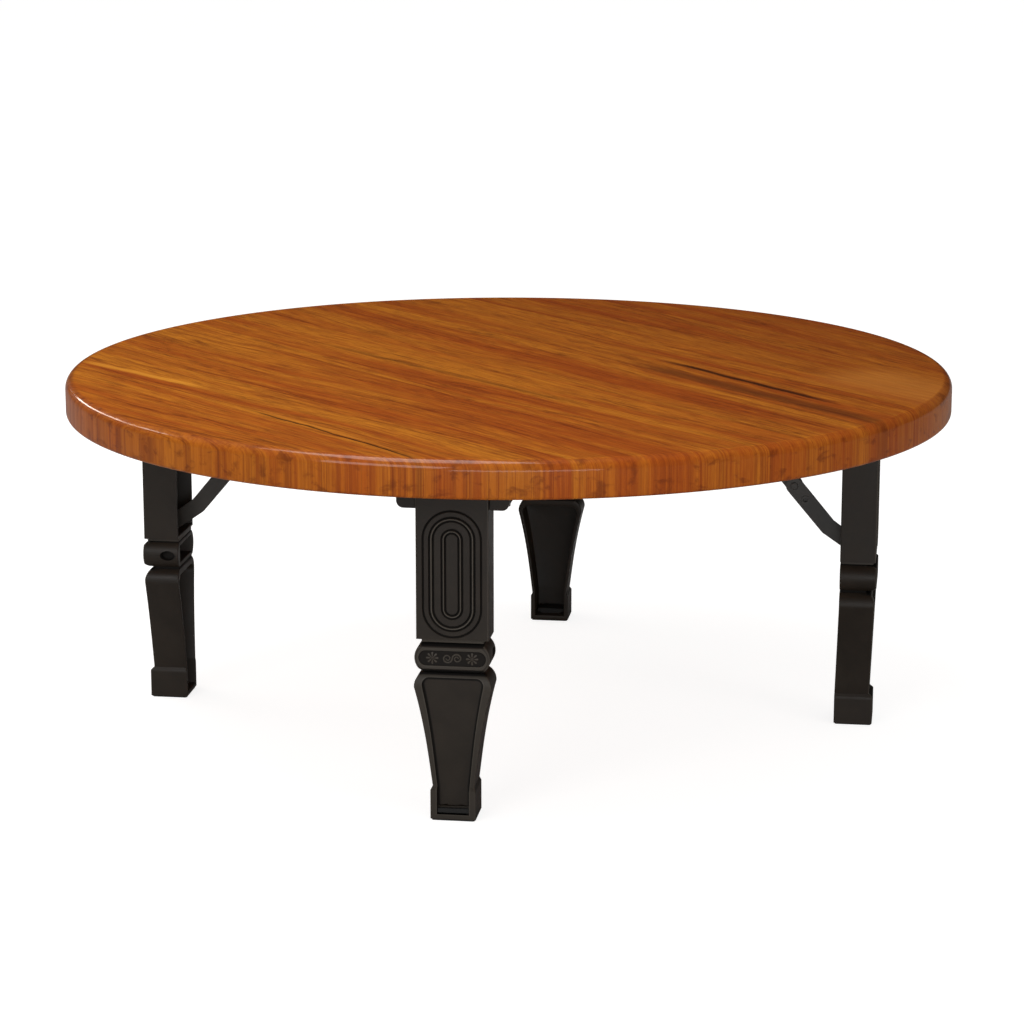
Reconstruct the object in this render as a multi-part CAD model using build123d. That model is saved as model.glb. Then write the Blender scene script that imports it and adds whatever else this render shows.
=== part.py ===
from build123d import *
import math
import os

# Chabudai: a low round table with four folding legs.
# Frame: millimetres, +Z up, origin on the floor under the middle of the top.
# Every leg set is drawn once for the leg that stands on +X and is then turned about Z.
# In that drawing X is the distance from the table's axis and Y runs along the rim.

# ---------------------------------------------------------------- driving dimensions
# table top
top_diameter = 800.0
top_thickness = 32.0
table_height = 320.0
top_upper_round = 9.0
top_lower_round = 3.0
board_count = 8
grain_angle = -45.0

# legs
leg_names = ["right", "back", "left", "front"]
leg_centre_radius = 321.0
leg_box_width = 60.0
leg_box_depth = 32.0
leg_wall = 3.0
leg_box_foot_z = 156.0
hollow_floor = 2.0
neck_height = 4.4
neck_bevel = 1.5
neck_half_width = 25.8
neck_inset = 4.8
bead_height = 23.0
bead_half_width = 31.5
bead_proud = 1.2
bead_face_height = 17.0
lower_neck_height = 2.4
shoulder_half_width = 32.2
shoulder_drop = 12.0
shoulder_inset = 0.2
waist_half_width = 17.4
waist_z = 29.0
waist_inset = 3.2
foot_half_width = 19.0
foot_height = 26.0
foot_back_reach = 2.7
bulge_out = 0.72
bulge_down = 0.38

# ornament of the outer face
ring_straight = 58.0
ring_foot_gap = 2.0
ring_half_widths = [24.0, 18.6, 15.6, 8.4, 5.6]
ring_groove_width = 1.2
ring_groove_depth = 0.8
capsule_half_length = 28.4
capsule_half_height = 6.8
capsule_depth = 1.0
dimple_length = 12.0
dimple_height = 8.5
dimple_depth = 6.0
dimple_from_inner_face = 10.0

# recessed panel and hollows of the tapered part
panel_rim = 6.6
panel_depth = 3.0
panel_top_gap = 3.4
panel_corner = 6.0
panel_foot_half_width = 13.5
hollow_rim = 4.2
hollow_top_rim = 6.0
hollow_corner = 8.0
bead_hollow_rim = 3.6

# foot: window in the outer wall, floor and rubber pad
foot_floor = 4.2
window_height = 6.1
pad_sole = 1.2
pad_inset = 1.0
pad_corner = 2.0
pad_plug_length = 16.0
pad_plug_width = 20.0
pad_head_gap = 1.2
pad_head_height = 3.6
pad_head_width = 26.2
pad_head_recess = 1.8
pad_fit = 0.1

# leg hinge
leg_pivot_depth = 14.0
fold_gap = 0.5
stop_gap = 0.3
base_plate = 3.0
axle_diameter = 6.0
axle_boss_diameter = 13.0
axle_boss_reach = 4.0
axle_head_diameter = 10.0
axle_head_height = 2.4
push_nut_height = 1.6
head_sink_clearance = 0.2

# hinge base under the top
base_width = 93.0
cheek_gap = 0.5
cheek_drop = 23.5
cheek_length = 50.0
cheek_front_inset = 5.0
cheek_corner = 6.0
tongue_width = 46.0
tongue_overhang = 11.0
plate_corner = 5.0

# screws into the top
screw_shank_diameter = 4.0
screw_head_diameter = 7.4
screw_head_height = 2.4
screw_bite = 19.0
screw_tip_length = 4.0
screw_point_radius = 0.25
screw_well_clearance = 0.4
screw_seat_above_cheek = 15.0
cheek_screw_back = 8.0
cheek_screw_spacing = 16.0
tongue_screw_side = 17.0
tongue_screw_ahead = 9.5
cross_slot_width = 1.0
cross_slot_length = 4.2
cross_slot_depth = 1.2

# folding stay: its knee stands off the line between its end pivots, past the dead centre
stay_top_back = 91.0
stay_top_drop = 9.5
stay_foot_depth = 8.0
stay_foot_rise = 9.0
stay_knee_share = 0.5046
stay_over_centre = 3.33
stay_bend_share = 0.66
stay_bend_side = 4.2
stay_thickness = 4.0
stay_side_gap = 0.2
stay_top_end_radius = 6.4
stay_upper_knee_radius = 7.4
stay_lower_knee_radius = 7.6
stay_bend_radius = 7.4
stay_foot_end_radius = 7.0
detent_from_knee = 16.0
detent_diameter = 4.4
detent_collar_width = 1.4
detent_collar_height = 0.9
detent_sink = 1.2
detent_collar_sink = 2.9
rivet_diameter = 5.0
rivet_head_diameter = 9.0
rivet_head_height = 1.5
knee_head_diameter = 6.8
rivet_flush_diameter = 7.5
rivet_flush_depth = 1.2
lug_thickness = 4.0
lug_side_gap = 0.3
ear_radius = 7.0
lug_radius = 6.5

# fits
pin_clearance = 0.05
flush_gap = 0.05
pilot_extra_depth = 0.5
cut_margin = 5.0

# ---------------------------------------------------------------- sizes that follow
top_radius = top_diameter / 2
top_underside = table_height - top_thickness
plate_underside = top_underside - base_plate

leg_inner_x = leg_centre_radius - leg_box_depth / 2
leg_outer_x = leg_centre_radius + leg_box_depth / 2
pivot_x = leg_inner_x + leg_pivot_depth
pivot_z = plate_underside - fold_gap - leg_pivot_depth
leg_top_z = plate_underside - stop_gap
box_half = leg_box_width / 2
box_hollow_floor = leg_box_foot_z + hollow_floor
bead_top_z = leg_box_foot_z - neck_height
bead_foot_z = bead_top_z - bead_height
bead_mid_z = (bead_top_z + bead_foot_z) / 2
shoulder_top_z = bead_foot_z - lower_neck_height
shoulder_z = shoulder_top_z - shoulder_drop
neck_x = leg_outer_x - neck_inset
bead_x = leg_outer_x + bead_proud
shoulder_x = leg_outer_x - shoulder_inset
waist_x = leg_outer_x - waist_inset
foot_back_x = leg_inner_x - foot_back_reach
foot_bottom_z = pad_sole
floor_top_z = foot_bottom_z + foot_floor
window_top_z = floor_top_z + window_height
panel_top_z = shoulder_top_z - panel_top_gap
hollow_top_z = shoulder_top_z - hollow_top_rim
ring_centre_z = leg_box_foot_z + ring_foot_gap + ring_half_widths[0] + ring_straight / 2
dimple_x = leg_inner_x + dimple_from_inner_face

base_half = base_width / 2
cheek_inner = box_half + cheek_gap
cheek_front_x = leg_outer_x - cheek_front_inset
cheek_back_x = cheek_front_x - cheek_length
cheek_foot_z = top_underside - cheek_drop
tongue_end_x = leg_inner_x - stay_top_back - tongue_overhang
screw_seat_z = cheek_foot_z + screw_seat_above_cheek
screw_tip_z = top_underside + screw_bite

axle_bore = axle_diameter / 2 + pin_clearance
rivet_bore = rivet_diameter / 2 + pin_clearance
screw_bore = screw_shank_diameter / 2 + pin_clearance
axle_sink_radius = axle_head_diameter / 2 + head_sink_clearance
axle_sink_depth = axle_head_height + head_sink_clearance


def beside(start, end, share, offset):
    """A point at a share of the way from start to end in (x, z), set off to the lower side."""
    dx = end[0] - start[0]
    dz = end[1] - start[1]
    length = math.hypot(dx, dz)
    return (start[0] + share * dx + offset * dz / length, start[1] + share * dz - offset * dx / length)


stay_top_pivot = (leg_inner_x - stay_top_back, plate_underside - stay_top_drop)
stay_foot_pivot = (leg_inner_x + stay_foot_depth, box_hollow_floor + stay_foot_rise)
stay_knee = beside(stay_top_pivot, stay_foot_pivot, stay_knee_share, stay_over_centre)
stay_bend = beside(stay_knee, stay_foot_pivot, stay_bend_share, stay_bend_side)


# ---------------------------------------------------------------- small helpers
def block(x0, x1, y0, y1, z0, z1):
    """A box between two corners."""
    size = Box(x1 - x0, y1 - y0, z1 - z0)
    return Pos((x0 + x1) / 2, (y0 + y1) / 2, (z0 + z1) / 2) * size


def rod_y(x, z, radius, y0, y1):
    """A round bar along Y, through (x, z)."""
    bar = Rot(90, 0, 0) * Cylinder(radius, y1 - y0)
    return Pos(x, (y0 + y1) / 2, z) * bar


def rod_z(x, y, radius, z0, z1):
    """A round bar along Z, through (x, y)."""
    return Pos(x, y, (z0 + z1) / 2) * Cylinder(radius, z1 - z0)


def cone_y(x, z, radius0, radius1, y0, y1):
    """A cone along Y with radius0 at y0 and radius1 at y1."""
    cone = Rot(-90, 0, 0) * Cone(radius0, radius1, y1 - y0)
    return Pos(x, (y0 + y1) / 2, z) * cone


def mirrored_face(half_outline):
    """A closed half outline on x >= 0, joined to its mirror image about x = 0."""
    half = make_face(half_outline)
    return half + mirror(half, Plane.YZ)


def across_leg(face, x0, x1):
    """A face drawn in (y, z), as a solid from x0 to x1."""
    return extrude(Plane(origin=(x0, 0, 0), x_dir=(0, 1, 0), z_dir=(1, 0, 0)) * face, x1 - x0)


def along_rim(face, y0, y1):
    """A face drawn in (x, z), as a solid from y0 to y1."""
    return extrude(Plane(origin=(0, y1, 0), x_dir=(1, 0, 0), z_dir=(0, -1, 0)) * face, y1 - y0)


def racetrack(half_width, straight):
    """A band with round ends, standing upright in (y, z)."""
    return SlotOverall(straight + 2 * half_width, 2 * half_width, rotation=90)


def tapered_bar(start, end, start_radius, end_radius):
    """The outline round two circles, in (x, z): two discs and their common tangents."""
    dx = end[0] - start[0]
    dz = end[1] - start[1]
    length = math.hypot(dx, dz)
    heading = math.atan2(dz, dx)
    lean = math.acos((start_radius - end_radius) / length)
    corners = []
    for centre, radius, side in [(start, start_radius, 1), (end, end_radius, 1),
                                 (end, end_radius, -1), (start, start_radius, -1)]:
        angle = heading + side * lean
        corners.append((centre[0] + radius * math.cos(angle), centre[1] + radius * math.sin(angle)))
    body = make_face(Polyline(*corners, close=True))
    return body + Pos(*start) * Circle(start_radius) + Pos(*end) * Circle(end_radius)


# ---------------------------------------------------------------- table top
def screw_places():
    """Screw places of one hinge base: (x, y, z of the head's seat)."""
    places = []
    cheek_middle = (cheek_inner + base_half) / 2
    for side in (-1, 1):
        for step in range(2):
            x = cheek_back_x + cheek_screw_back + step * cheek_screw_spacing
            places.append((x, side * cheek_middle, screw_seat_z))
        x = tongue_end_x + tongue_screw_ahead
        places.append((x, side * tongue_screw_side, plate_underside))
    return places


def round_top():
    """The whole round top, before it is parted into boards."""
    outline = Polyline((0, top_underside), (top_radius, top_underside), (top_radius, table_height),
                       (0, table_height), close=True)
    profile = make_face(outline)
    rim = profile.vertices().group_by(Axis.X)[-1].sort_by(Axis.Y)
    profile = fillet(rim[0], top_lower_round)
    upper = profile.vertices().sort_by(lambda v: -math.hypot(v.X - top_radius, v.Y - table_height))[-1]
    profile = fillet(upper, top_upper_round)
    return revolve(Plane.XZ * profile, Axis.Z)


def pilot_holes():
    """The screws' holes up into the top, for all four hinge bases."""
    holes = []
    for turn in range(len(leg_names)):
        for x, y, _ in screw_places():
            hole = rod_z(x, y, screw_bore, top_underside - cut_margin, screw_tip_z + pilot_extra_depth)
            holes.append(Rot(0, 0, 90 * turn) * hole)
    return holes


def boards():
    """The top's boards: strips along the grain, glued edge to edge."""
    top = round_top() - pilot_holes()
    width = top_diameter / board_count
    strips = []
    for index in range(board_count):
        start = index * width - top_radius
        strip = block(-top_diameter, top_diameter, start, start + width, 0, 2 * table_height)
        strips.append(top & (Rot(0, 0, grain_angle) * strip))
    return strips


# ---------------------------------------------------------------- leg
def front_outline():
    """The leg seen along X: box, neck, bead, neck, shoulder, taper and foot."""
    neck_top = leg_box_foot_z - neck_bevel
    upper = Polyline((0, leg_top_z), (box_half, leg_top_z), (box_half, leg_box_foot_z),
                     (neck_half_width, neck_top), (neck_half_width, bead_top_z))
    bead = ThreePointArc((neck_half_width, bead_top_z), (bead_half_width, bead_mid_z),
                         (neck_half_width, bead_foot_z))
    neck = Line((neck_half_width, bead_foot_z), (neck_half_width, shoulder_top_z))
    shoulder = ThreePointArc((neck_half_width, shoulder_top_z),
                             (neck_half_width + bulge_out * (shoulder_half_width - neck_half_width),
                              shoulder_top_z - bulge_down * shoulder_drop),
                             (shoulder_half_width, shoulder_z))
    lower = Polyline((shoulder_half_width, shoulder_z), (waist_half_width, waist_z),
                     (foot_half_width, foot_height), (foot_half_width, foot_bottom_z), (0, foot_bottom_z),
                     (0, leg_top_z))
    return mirrored_face(upper + bead + neck + shoulder + lower)


def side_outline():
    """The leg seen along the rim; the top's inner corner is an arc about the axle."""
    neck_top = leg_box_foot_z - neck_bevel
    bulge_x = neck_x + bulge_out * (bead_x - neck_x)
    face_top = bead_mid_z + bead_face_height / 2
    face_foot = bead_mid_z - bead_face_height / 2
    half_turn = leg_pivot_depth * math.sqrt(0.5)
    corner = ThreePointArc((leg_inner_x, pivot_z), (pivot_x - half_turn, pivot_z + half_turn),
                           (pivot_x, pivot_z + leg_pivot_depth))
    upper = Polyline((pivot_x, pivot_z + leg_pivot_depth), (pivot_x + stop_gap, leg_top_z),
                     (leg_outer_x, leg_top_z), (leg_outer_x, leg_box_foot_z), (neck_x, neck_top),
                     (neck_x, bead_top_z))
    bead_upper = ThreePointArc((neck_x, bead_top_z),
                               (bulge_x, bead_top_z - bulge_down * (bead_top_z - face_top)),
                               (bead_x, face_top))
    bead_face = Line((bead_x, face_top), (bead_x, face_foot))
    bead_lower = ThreePointArc((bead_x, face_foot),
                               (bulge_x, bead_foot_z + bulge_down * (face_foot - bead_foot_z)),
                               (neck_x, bead_foot_z))
    neck = Line((neck_x, bead_foot_z), (neck_x, shoulder_top_z))
    shoulder = ThreePointArc((neck_x, shoulder_top_z),
                             (neck_x + bulge_out * (shoulder_x - neck_x),
                              shoulder_top_z - bulge_down * shoulder_drop),
                             (shoulder_x, shoulder_z))
    lower = Polyline((shoulder_x, shoulder_z), (waist_x, waist_z), (leg_outer_x, foot_height),
                     (leg_outer_x, foot_bottom_z), (foot_back_x, foot_bottom_z), (foot_back_x, foot_height),
                     (leg_inner_x, shoulder_z), (leg_inner_x, pivot_z))
    return make_face(corner + upper + bead_upper + bead_face + bead_lower + neck + shoulder + lower)


def ring_grooves():
    """Fine upright racetrack grooves, one inside the other, on the box's outer face."""
    grooves = []
    for half_width in ring_half_widths:
        half_groove = ring_groove_width / 2
        outside = racetrack(half_width + half_groove, ring_straight)
        inside = racetrack(half_width - half_groove, ring_straight)
        placed = Pos(0, ring_centre_z) * (outside - inside)
        grooves.append(across_leg(placed, leg_outer_x - ring_groove_depth, leg_outer_x + cut_margin))
    return grooves


def panel_outline(top_z, rim, corner, foot_half, foot_z):
    """The taper's outline drawn in by a rim, with round upper corners."""
    wide = shoulder_half_width - rim
    turn_z = top_z - corner
    head = Polyline((0, top_z), (wide - corner, top_z))
    arc = RadiusArc((wide - corner, top_z), (wide, turn_z), corner)
    side = Polyline((wide, turn_z), (foot_half, waist_z), (foot_half, foot_z), (0, foot_z), (0, top_z))
    return mirrored_face(head + arc + side)


def panel_plane_x(z, depth):
    """Place of the recessed panel's plane at height z: the taper's outer face, set back."""
    share = (z - waist_z) / (shoulder_z - waist_z)
    return waist_x + share * (shoulder_x - waist_x) - depth


def panel_recess():
    """The recess of the taper's outer face; it runs down through the foot to the window."""
    outline = panel_outline(panel_top_z, panel_rim, panel_corner, panel_foot_half_width, floor_top_z)
    front = across_leg(outline, leg_inner_x, bead_x + cut_margin)
    region = make_face(Polyline((panel_plane_x(panel_top_z, panel_depth), panel_top_z),
                                (panel_plane_x(waist_z, panel_depth), waist_z),
                                (panel_plane_x(waist_z, panel_depth), floor_top_z),
                                (bead_x + cut_margin, floor_top_z), (bead_x + cut_margin, panel_top_z),
                                close=True))
    return front & along_rim(region, -base_half, base_half)


def lower_hollow():
    """The hollow behind the recessed panel, open on the leg's inner face."""
    back = panel_depth + leg_wall
    foot_half = foot_half_width - hollow_rim
    outline = panel_outline(hollow_top_z, hollow_rim, hollow_corner, foot_half, floor_top_z)
    front = across_leg(outline, foot_back_x - cut_margin, leg_outer_x)
    region = make_face(Polyline((foot_back_x - cut_margin, floor_top_z),
                                (panel_plane_x(waist_z, back), floor_top_z),
                                (panel_plane_x(waist_z, back), waist_z),
                                (panel_plane_x(hollow_top_z, back), hollow_top_z),
                                (foot_back_x - cut_margin, hollow_top_z), close=True))
    return front & along_rim(region, -base_half, base_half)


def leg():
    """One moulded leg: a shell that is open on its inner face, with its foot's window."""
    solid = across_leg(front_outline(), foot_back_x - cut_margin, bead_x + cut_margin)
    solid = solid & along_rim(side_outline(), -base_half, base_half)
    wall_x = leg_outer_x - leg_wall
    box_in = box_half - leg_wall
    solid -= block(leg_inner_x - cut_margin, wall_x, -box_in, box_in, box_hollow_floor, leg_top_z - leg_wall)
    bead_in = neck_half_width - bead_hollow_rim
    solid -= block(leg_inner_x - cut_margin, bead_x - leg_wall - capsule_depth, -bead_in, bead_in,
                   bead_foot_z + bead_hollow_rim, bead_top_z - bead_hollow_rim)
    solid -= lower_hollow()
    solid -= panel_recess()
    solid -= ring_grooves()
    capsule = Pos(0, bead_mid_z) * SlotOverall(2 * capsule_half_length, 2 * capsule_half_height)
    solid -= across_leg(capsule, bead_x - capsule_depth, bead_x + cut_margin)
    oval = Pos(dimple_x, bead_mid_z) * Ellipse(dimple_length / 2, dimple_height / 2)
    solid -= along_rim(oval, bead_half_width - dimple_depth, bead_half_width + cut_margin)
    solid -= block(leg_centre_radius, leg_outer_x + cut_margin, -panel_foot_half_width,
                   panel_foot_half_width, floor_top_z, window_top_z)
    plug_half = pad_plug_width / 2 + pad_fit
    plug_reach = pad_plug_length / 2 + pad_fit
    solid -= block(leg_centre_radius - plug_reach, leg_centre_radius + plug_reach, -plug_half, plug_half,
                   foot_bottom_z - cut_margin, floor_top_z + pad_fit)
    for side in (-1, 1):
        inner, outer = sorted([side * (box_in - axle_boss_reach), side * box_in])
        solid += rod_y(pivot_x, pivot_z, axle_boss_diameter / 2, inner, outer)
    solid -= rod_y(pivot_x, pivot_z, axle_bore, -base_half, base_half)
    return solid + stay_lug()


def stay_lug():
    """The lug in the leg's upper hollow that carries the lower stay bar."""
    y1 = -(stay_side_gap + stay_thickness + lug_side_gap)
    y0 = y1 - lug_thickness
    x, z = stay_foot_pivot
    web = block(x, leg_outer_x - leg_wall / 2, y0, y1, z - lug_radius, z + lug_radius)
    lug = rod_y(x, z, lug_radius, y0, y1) + web
    return lug - rod_y(x, z, rivet_bore, y0 - cut_margin, y1 + cut_margin)


def foot_pad():
    """The rubber pad: a sole under the foot, a plug through its floor and a head in the window."""
    sole = block(foot_back_x + pad_inset, leg_outer_x - pad_inset, -foot_half_width + pad_inset,
                 foot_half_width - pad_inset, 0, pad_sole)
    sole = fillet(sole.edges().filter_by(Axis.Z), pad_corner)
    head_z = floor_top_z + pad_head_gap
    plug = block(leg_centre_radius - pad_plug_length / 2, leg_centre_radius + pad_plug_length / 2,
                 -pad_plug_width / 2, pad_plug_width / 2, pad_sole, head_z)
    head = block(leg_centre_radius - pad_plug_length / 2, leg_outer_x - pad_head_recess,
                 -pad_head_width / 2, pad_head_width / 2, head_z, head_z + pad_head_height)
    return sole + plug + head


# ---------------------------------------------------------------- hinge
def hinge_base():
    """The moulded base under the top: plate, two cheeks for the axle, one ear for the stay."""
    tongue = block(tongue_end_x, cheek_front_x, -tongue_width / 2, tongue_width / 2,
                   plate_underside, top_underside)
    tongue = fillet(tongue.edges().filter_by(Axis.Z), plate_corner)
    plate = block(cheek_back_x, cheek_front_x, -base_half, base_half, plate_underside, top_underside)
    base = tongue + plate
    for side in (-1, 1):
        y0, y1 = sorted([side * cheek_inner, side * base_half])
        cheek = block(cheek_back_x, cheek_front_x, y0, y1, cheek_foot_z, top_underside)
        low = cheek.edges().filter_by(Axis.X).sort_by(lambda e: side * e.center().Y - e.center().Z)
        base += fillet(low[-1], cheek_corner)
    ear_y0 = stay_side_gap + stay_thickness + lug_side_gap
    ear_y1 = ear_y0 + lug_thickness
    x, z = stay_top_pivot
    web = block(x - ear_radius, x + ear_radius, ear_y0, ear_y1, z, top_underside)
    base += rod_y(x, z, ear_radius, ear_y0, ear_y1) + web
    base -= rod_y(x, z, rivet_bore, ear_y0 - cut_margin, ear_y1 + cut_margin)
    base -= rod_y(pivot_x, pivot_z, axle_bore, -base_half, base_half)
    for side in (-1, 1):
        y0, y1 = sorted([side * (base_half - axle_sink_depth), side * (base_half + cut_margin)])
        base -= rod_y(pivot_x, pivot_z, axle_sink_radius, y0, y1)
    for x, y, seat_z in screw_places():
        base -= rod_z(x, y, screw_bore, plate_underside - cheek_drop, top_underside + cut_margin)
        if seat_z < plate_underside:
            well = screw_head_diameter / 2 + screw_well_clearance
            base -= rod_z(x, y, well, cheek_foot_z - cut_margin, seat_z)
    return base


def base_screws():
    """The base's pan-head wood screws, points up in the top."""
    screws = []
    for x, y, seat_z in screw_places():
        radius = screw_shank_diameter / 2
        head = rod_z(x, y, screw_head_diameter / 2, seat_z - screw_head_height, seat_z)
        head = fillet(head.edges().sort_by(Axis.Z)[0], screw_head_height / 2)
        for turn in (0, 90):
            slot = Rot(0, 0, turn) * Box(cross_slot_length, cross_slot_width, cross_slot_depth)
            head -= Pos(x, y, seat_z - screw_head_height + cross_slot_depth / 2) * slot
        shank = rod_z(x, y, radius, seat_z, screw_tip_z - screw_tip_length)
        cone = Cone(radius, screw_point_radius, screw_tip_length)
        point = Pos(x, y, screw_tip_z - screw_tip_length / 2) * cone
        screws.append(head + shank + point)
    return screws


def leg_axle():
    """The steel rod that the leg turns on, with its head sunk in one cheek."""
    head_foot = -base_half + head_sink_clearance
    head_top = head_foot + axle_head_height
    end = base_half - head_sink_clearance - push_nut_height / 2
    rod = rod_y(pivot_x, pivot_z, axle_diameter / 2, head_top, end)
    return rod + rod_y(pivot_x, pivot_z, axle_head_diameter / 2, head_foot, head_top)


def push_nut():
    """The spring ring pushed on the axle's plain end, against the sunk seat."""
    seat = base_half - axle_sink_depth
    ring = rod_y(pivot_x, pivot_z, axle_head_diameter / 2, seat, seat + push_nut_height)
    return ring - rod_y(pivot_x, pivot_z, axle_bore, seat - cut_margin, base_half + cut_margin)


# ---------------------------------------------------------------- folding stay
# The upper bar lies on the +Y side of the leg's mid plane and the lower bar on the -Y side.
def toward(start, end, distance):
    """The point at a distance from start, on the way to end."""
    length = math.dist(start, end)
    return (start[0] + (end[0] - start[0]) * distance / length,
            start[1] + (end[1] - start[1]) * distance / length)


def flush_sink(x, z, face_y, inward):
    """The cone that sinks a flush rivet head into a bar's face; inward is +1 or -1."""
    wide = rivet_flush_diameter / 2 + 2 * pin_clearance
    if inward > 0:
        return cone_y(x, z, wide, rivet_bore, face_y, face_y + rivet_flush_depth)
    return cone_y(x, z, rivet_bore, wide, face_y - rivet_flush_depth, face_y)


def stay_upper():
    """The upper bar, from the base's ear to the knee, with its pressed detent."""
    y0 = stay_side_gap
    y1 = y0 + stay_thickness
    outline = tapered_bar(stay_top_pivot, stay_knee, stay_top_end_radius, stay_upper_knee_radius)
    bar = along_rim(outline, y0, y1)
    for x, z in (stay_top_pivot, stay_knee):
        bar -= rod_y(x, z, rivet_bore, y0 - cut_margin, y1 + cut_margin)
    bar -= flush_sink(*stay_top_pivot, y0, 1)
    x, z = toward(stay_knee, stay_top_pivot, detent_from_knee)
    return bar - rod_y(x, z, detent_diameter / 2, y1 - detent_sink, y1 + cut_margin)


def stay_lower():
    """The lower bar, from the knee round its bend to the lug in the leg, with its blind boss."""
    y1 = -stay_side_gap
    y0 = y1 - stay_thickness
    boss_y = y0 - detent_collar_height
    outline = tapered_bar(stay_knee, stay_bend, stay_lower_knee_radius, stay_bend_radius)
    outline += tapered_bar(stay_bend, stay_foot_pivot, stay_bend_radius, stay_foot_end_radius)
    bar = along_rim(outline, y0, y1)
    x, z = toward(stay_knee, stay_bend, detent_from_knee)
    collar = detent_diameter / 2 + detent_collar_width
    bar += rod_y(x, z, collar, boss_y, y0)
    bar -= rod_y(x, z, detent_diameter / 2, boss_y - cut_margin, boss_y + detent_collar_sink)
    for x, z in (stay_knee, stay_foot_pivot):
        bar -= rod_y(x, z, rivet_bore, y0 - cut_margin, y1 + cut_margin)
    return bar - flush_sink(*stay_foot_pivot, y1, -1)


def flush_rivet(place, side):
    """A rivet through a bar and its carrier: flush at the bar, a round head on the carrier."""
    x, z = place
    start = stay_side_gap + flush_gap
    end = stay_side_gap + stay_thickness + lug_side_gap + lug_thickness
    sink = rivet_flush_depth - flush_gap
    shank = rod_y(x, z, rivet_diameter / 2, start, end)
    flush = cone_y(x, z, rivet_flush_diameter / 2, rivet_diameter / 2, start, start + sink)
    head = rod_y(x, z, rivet_head_diameter / 2, end, end + rivet_head_height)
    head = fillet(head.edges().sort_by(Axis.Y)[-1], rivet_head_height / 2)
    rivet = shank + flush + head
    return rivet if side > 0 else mirror(rivet, Plane.XZ)


def knee_rivet(side):
    """One half of the knee's rivet: its head and the shank inside one bar."""
    x, z = stay_knee
    face = stay_side_gap + stay_thickness
    shank = rod_y(x, z, rivet_diameter / 2, stay_side_gap + flush_gap, face)
    head = rod_y(x, z, knee_head_diameter / 2, face, face + rivet_head_height)
    head = fillet(head.edges().sort_by(Axis.Y)[-1], rivet_head_height / 2)
    half = shank + head
    return half if side > 0 else mirror(half, Plane.XZ)


# ---------------------------------------------------------------- assembly
def leg_set():
    """Every piece that goes with one leg, drawn for the leg on +X."""
    return {
        "hinge_base": hinge_base(),
        "base_screws": Compound(children=base_screws()),
        "leg": leg(),
        "leg_axle": leg_axle(),
        "axle_push_nut": push_nut(),
        "foot_pad": foot_pad(),
        "stay_upper": stay_upper(),
        "stay_lower": stay_lower(),
        "stay_top_rivet": flush_rivet(stay_top_pivot, 1),
        "stay_foot_rivet": flush_rivet(stay_foot_pivot, -1),
        "knee_rivet": knee_rivet(-1),
        "knee_rivet_tail": knee_rivet(1),
    }


os.makedirs("parts", exist_ok=True)

for number, board in enumerate(boards(), start=1):
    export_step(board, f"parts/top_board_{number}.step")

pieces = leg_set()
for turn, name in enumerate(leg_names):
    for piece, shape in pieces.items():
        export_step(Rot(0, 0, 90 * turn) * shape, f"parts/{piece}_{name}.step")
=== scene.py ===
# %% [markdown]
# # A folding tea table in lacquered wood and black plastic
# A chabudai is a low round table that is used from the floor. Its four legs fold flat under the top.
# The CAD model gives every size and every moving body. This script dresses it: it makes finer surfaces
# for the boards and the legs, gives every other part a finish, and lights the table like a studio shot.

import math

import bmesh
import bpy
import numpy as np
from mathutils import Matrix, Vector


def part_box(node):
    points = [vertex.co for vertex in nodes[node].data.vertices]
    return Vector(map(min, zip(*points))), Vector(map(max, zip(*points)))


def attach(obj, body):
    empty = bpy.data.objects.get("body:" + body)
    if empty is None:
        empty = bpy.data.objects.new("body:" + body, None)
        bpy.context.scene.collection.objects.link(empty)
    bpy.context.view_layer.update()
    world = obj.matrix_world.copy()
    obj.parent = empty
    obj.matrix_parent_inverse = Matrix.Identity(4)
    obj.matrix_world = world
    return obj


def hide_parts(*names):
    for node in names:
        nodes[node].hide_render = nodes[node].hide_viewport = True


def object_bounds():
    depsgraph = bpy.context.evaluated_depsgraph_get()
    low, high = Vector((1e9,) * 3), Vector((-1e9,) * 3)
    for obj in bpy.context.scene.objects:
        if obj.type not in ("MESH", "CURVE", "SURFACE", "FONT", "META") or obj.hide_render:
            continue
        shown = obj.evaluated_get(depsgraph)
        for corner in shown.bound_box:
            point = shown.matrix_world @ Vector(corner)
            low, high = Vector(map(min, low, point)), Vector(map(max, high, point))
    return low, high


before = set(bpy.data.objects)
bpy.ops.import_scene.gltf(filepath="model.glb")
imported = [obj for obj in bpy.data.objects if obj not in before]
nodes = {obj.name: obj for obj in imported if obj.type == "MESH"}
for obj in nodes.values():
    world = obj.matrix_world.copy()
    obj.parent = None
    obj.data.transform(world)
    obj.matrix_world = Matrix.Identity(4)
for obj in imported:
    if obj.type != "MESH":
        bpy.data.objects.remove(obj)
cad_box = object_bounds()
print("CAD nodes:", len(nodes), "box:", [tuple(round(c, 4) for c in corner) for corner in cad_box])

# %% [markdown]
# ## Sizes
# Everything is in metres here. The leading sizes are measured on the CAD nodes, so the dressed parts
# follow the frame. The smaller ones are the maker's sizes of the moulding and the lacquered edge.

# %% Sizes from the frame
MM = 0.001
SIDES = ["right", "back", "left", "front"]
BOARD_COUNT = 8
top_height = cad_box[1].z
top_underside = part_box("top_board_4")[0].z
top_radius = cad_box[1].x
board_width = 2 * top_radius / BOARD_COUNT
GRAIN_ANGLE = math.radians(-45)
leg_low, leg_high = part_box("leg_right")
box_inner_x = leg_low.x + 2.7 * MM
box_outer_x = leg_high.x - 1.2 * MM
print("top radius", round(top_radius, 4), "leg from", round(leg_low.x, 4), "to", round(leg_high.x, 4))

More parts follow.
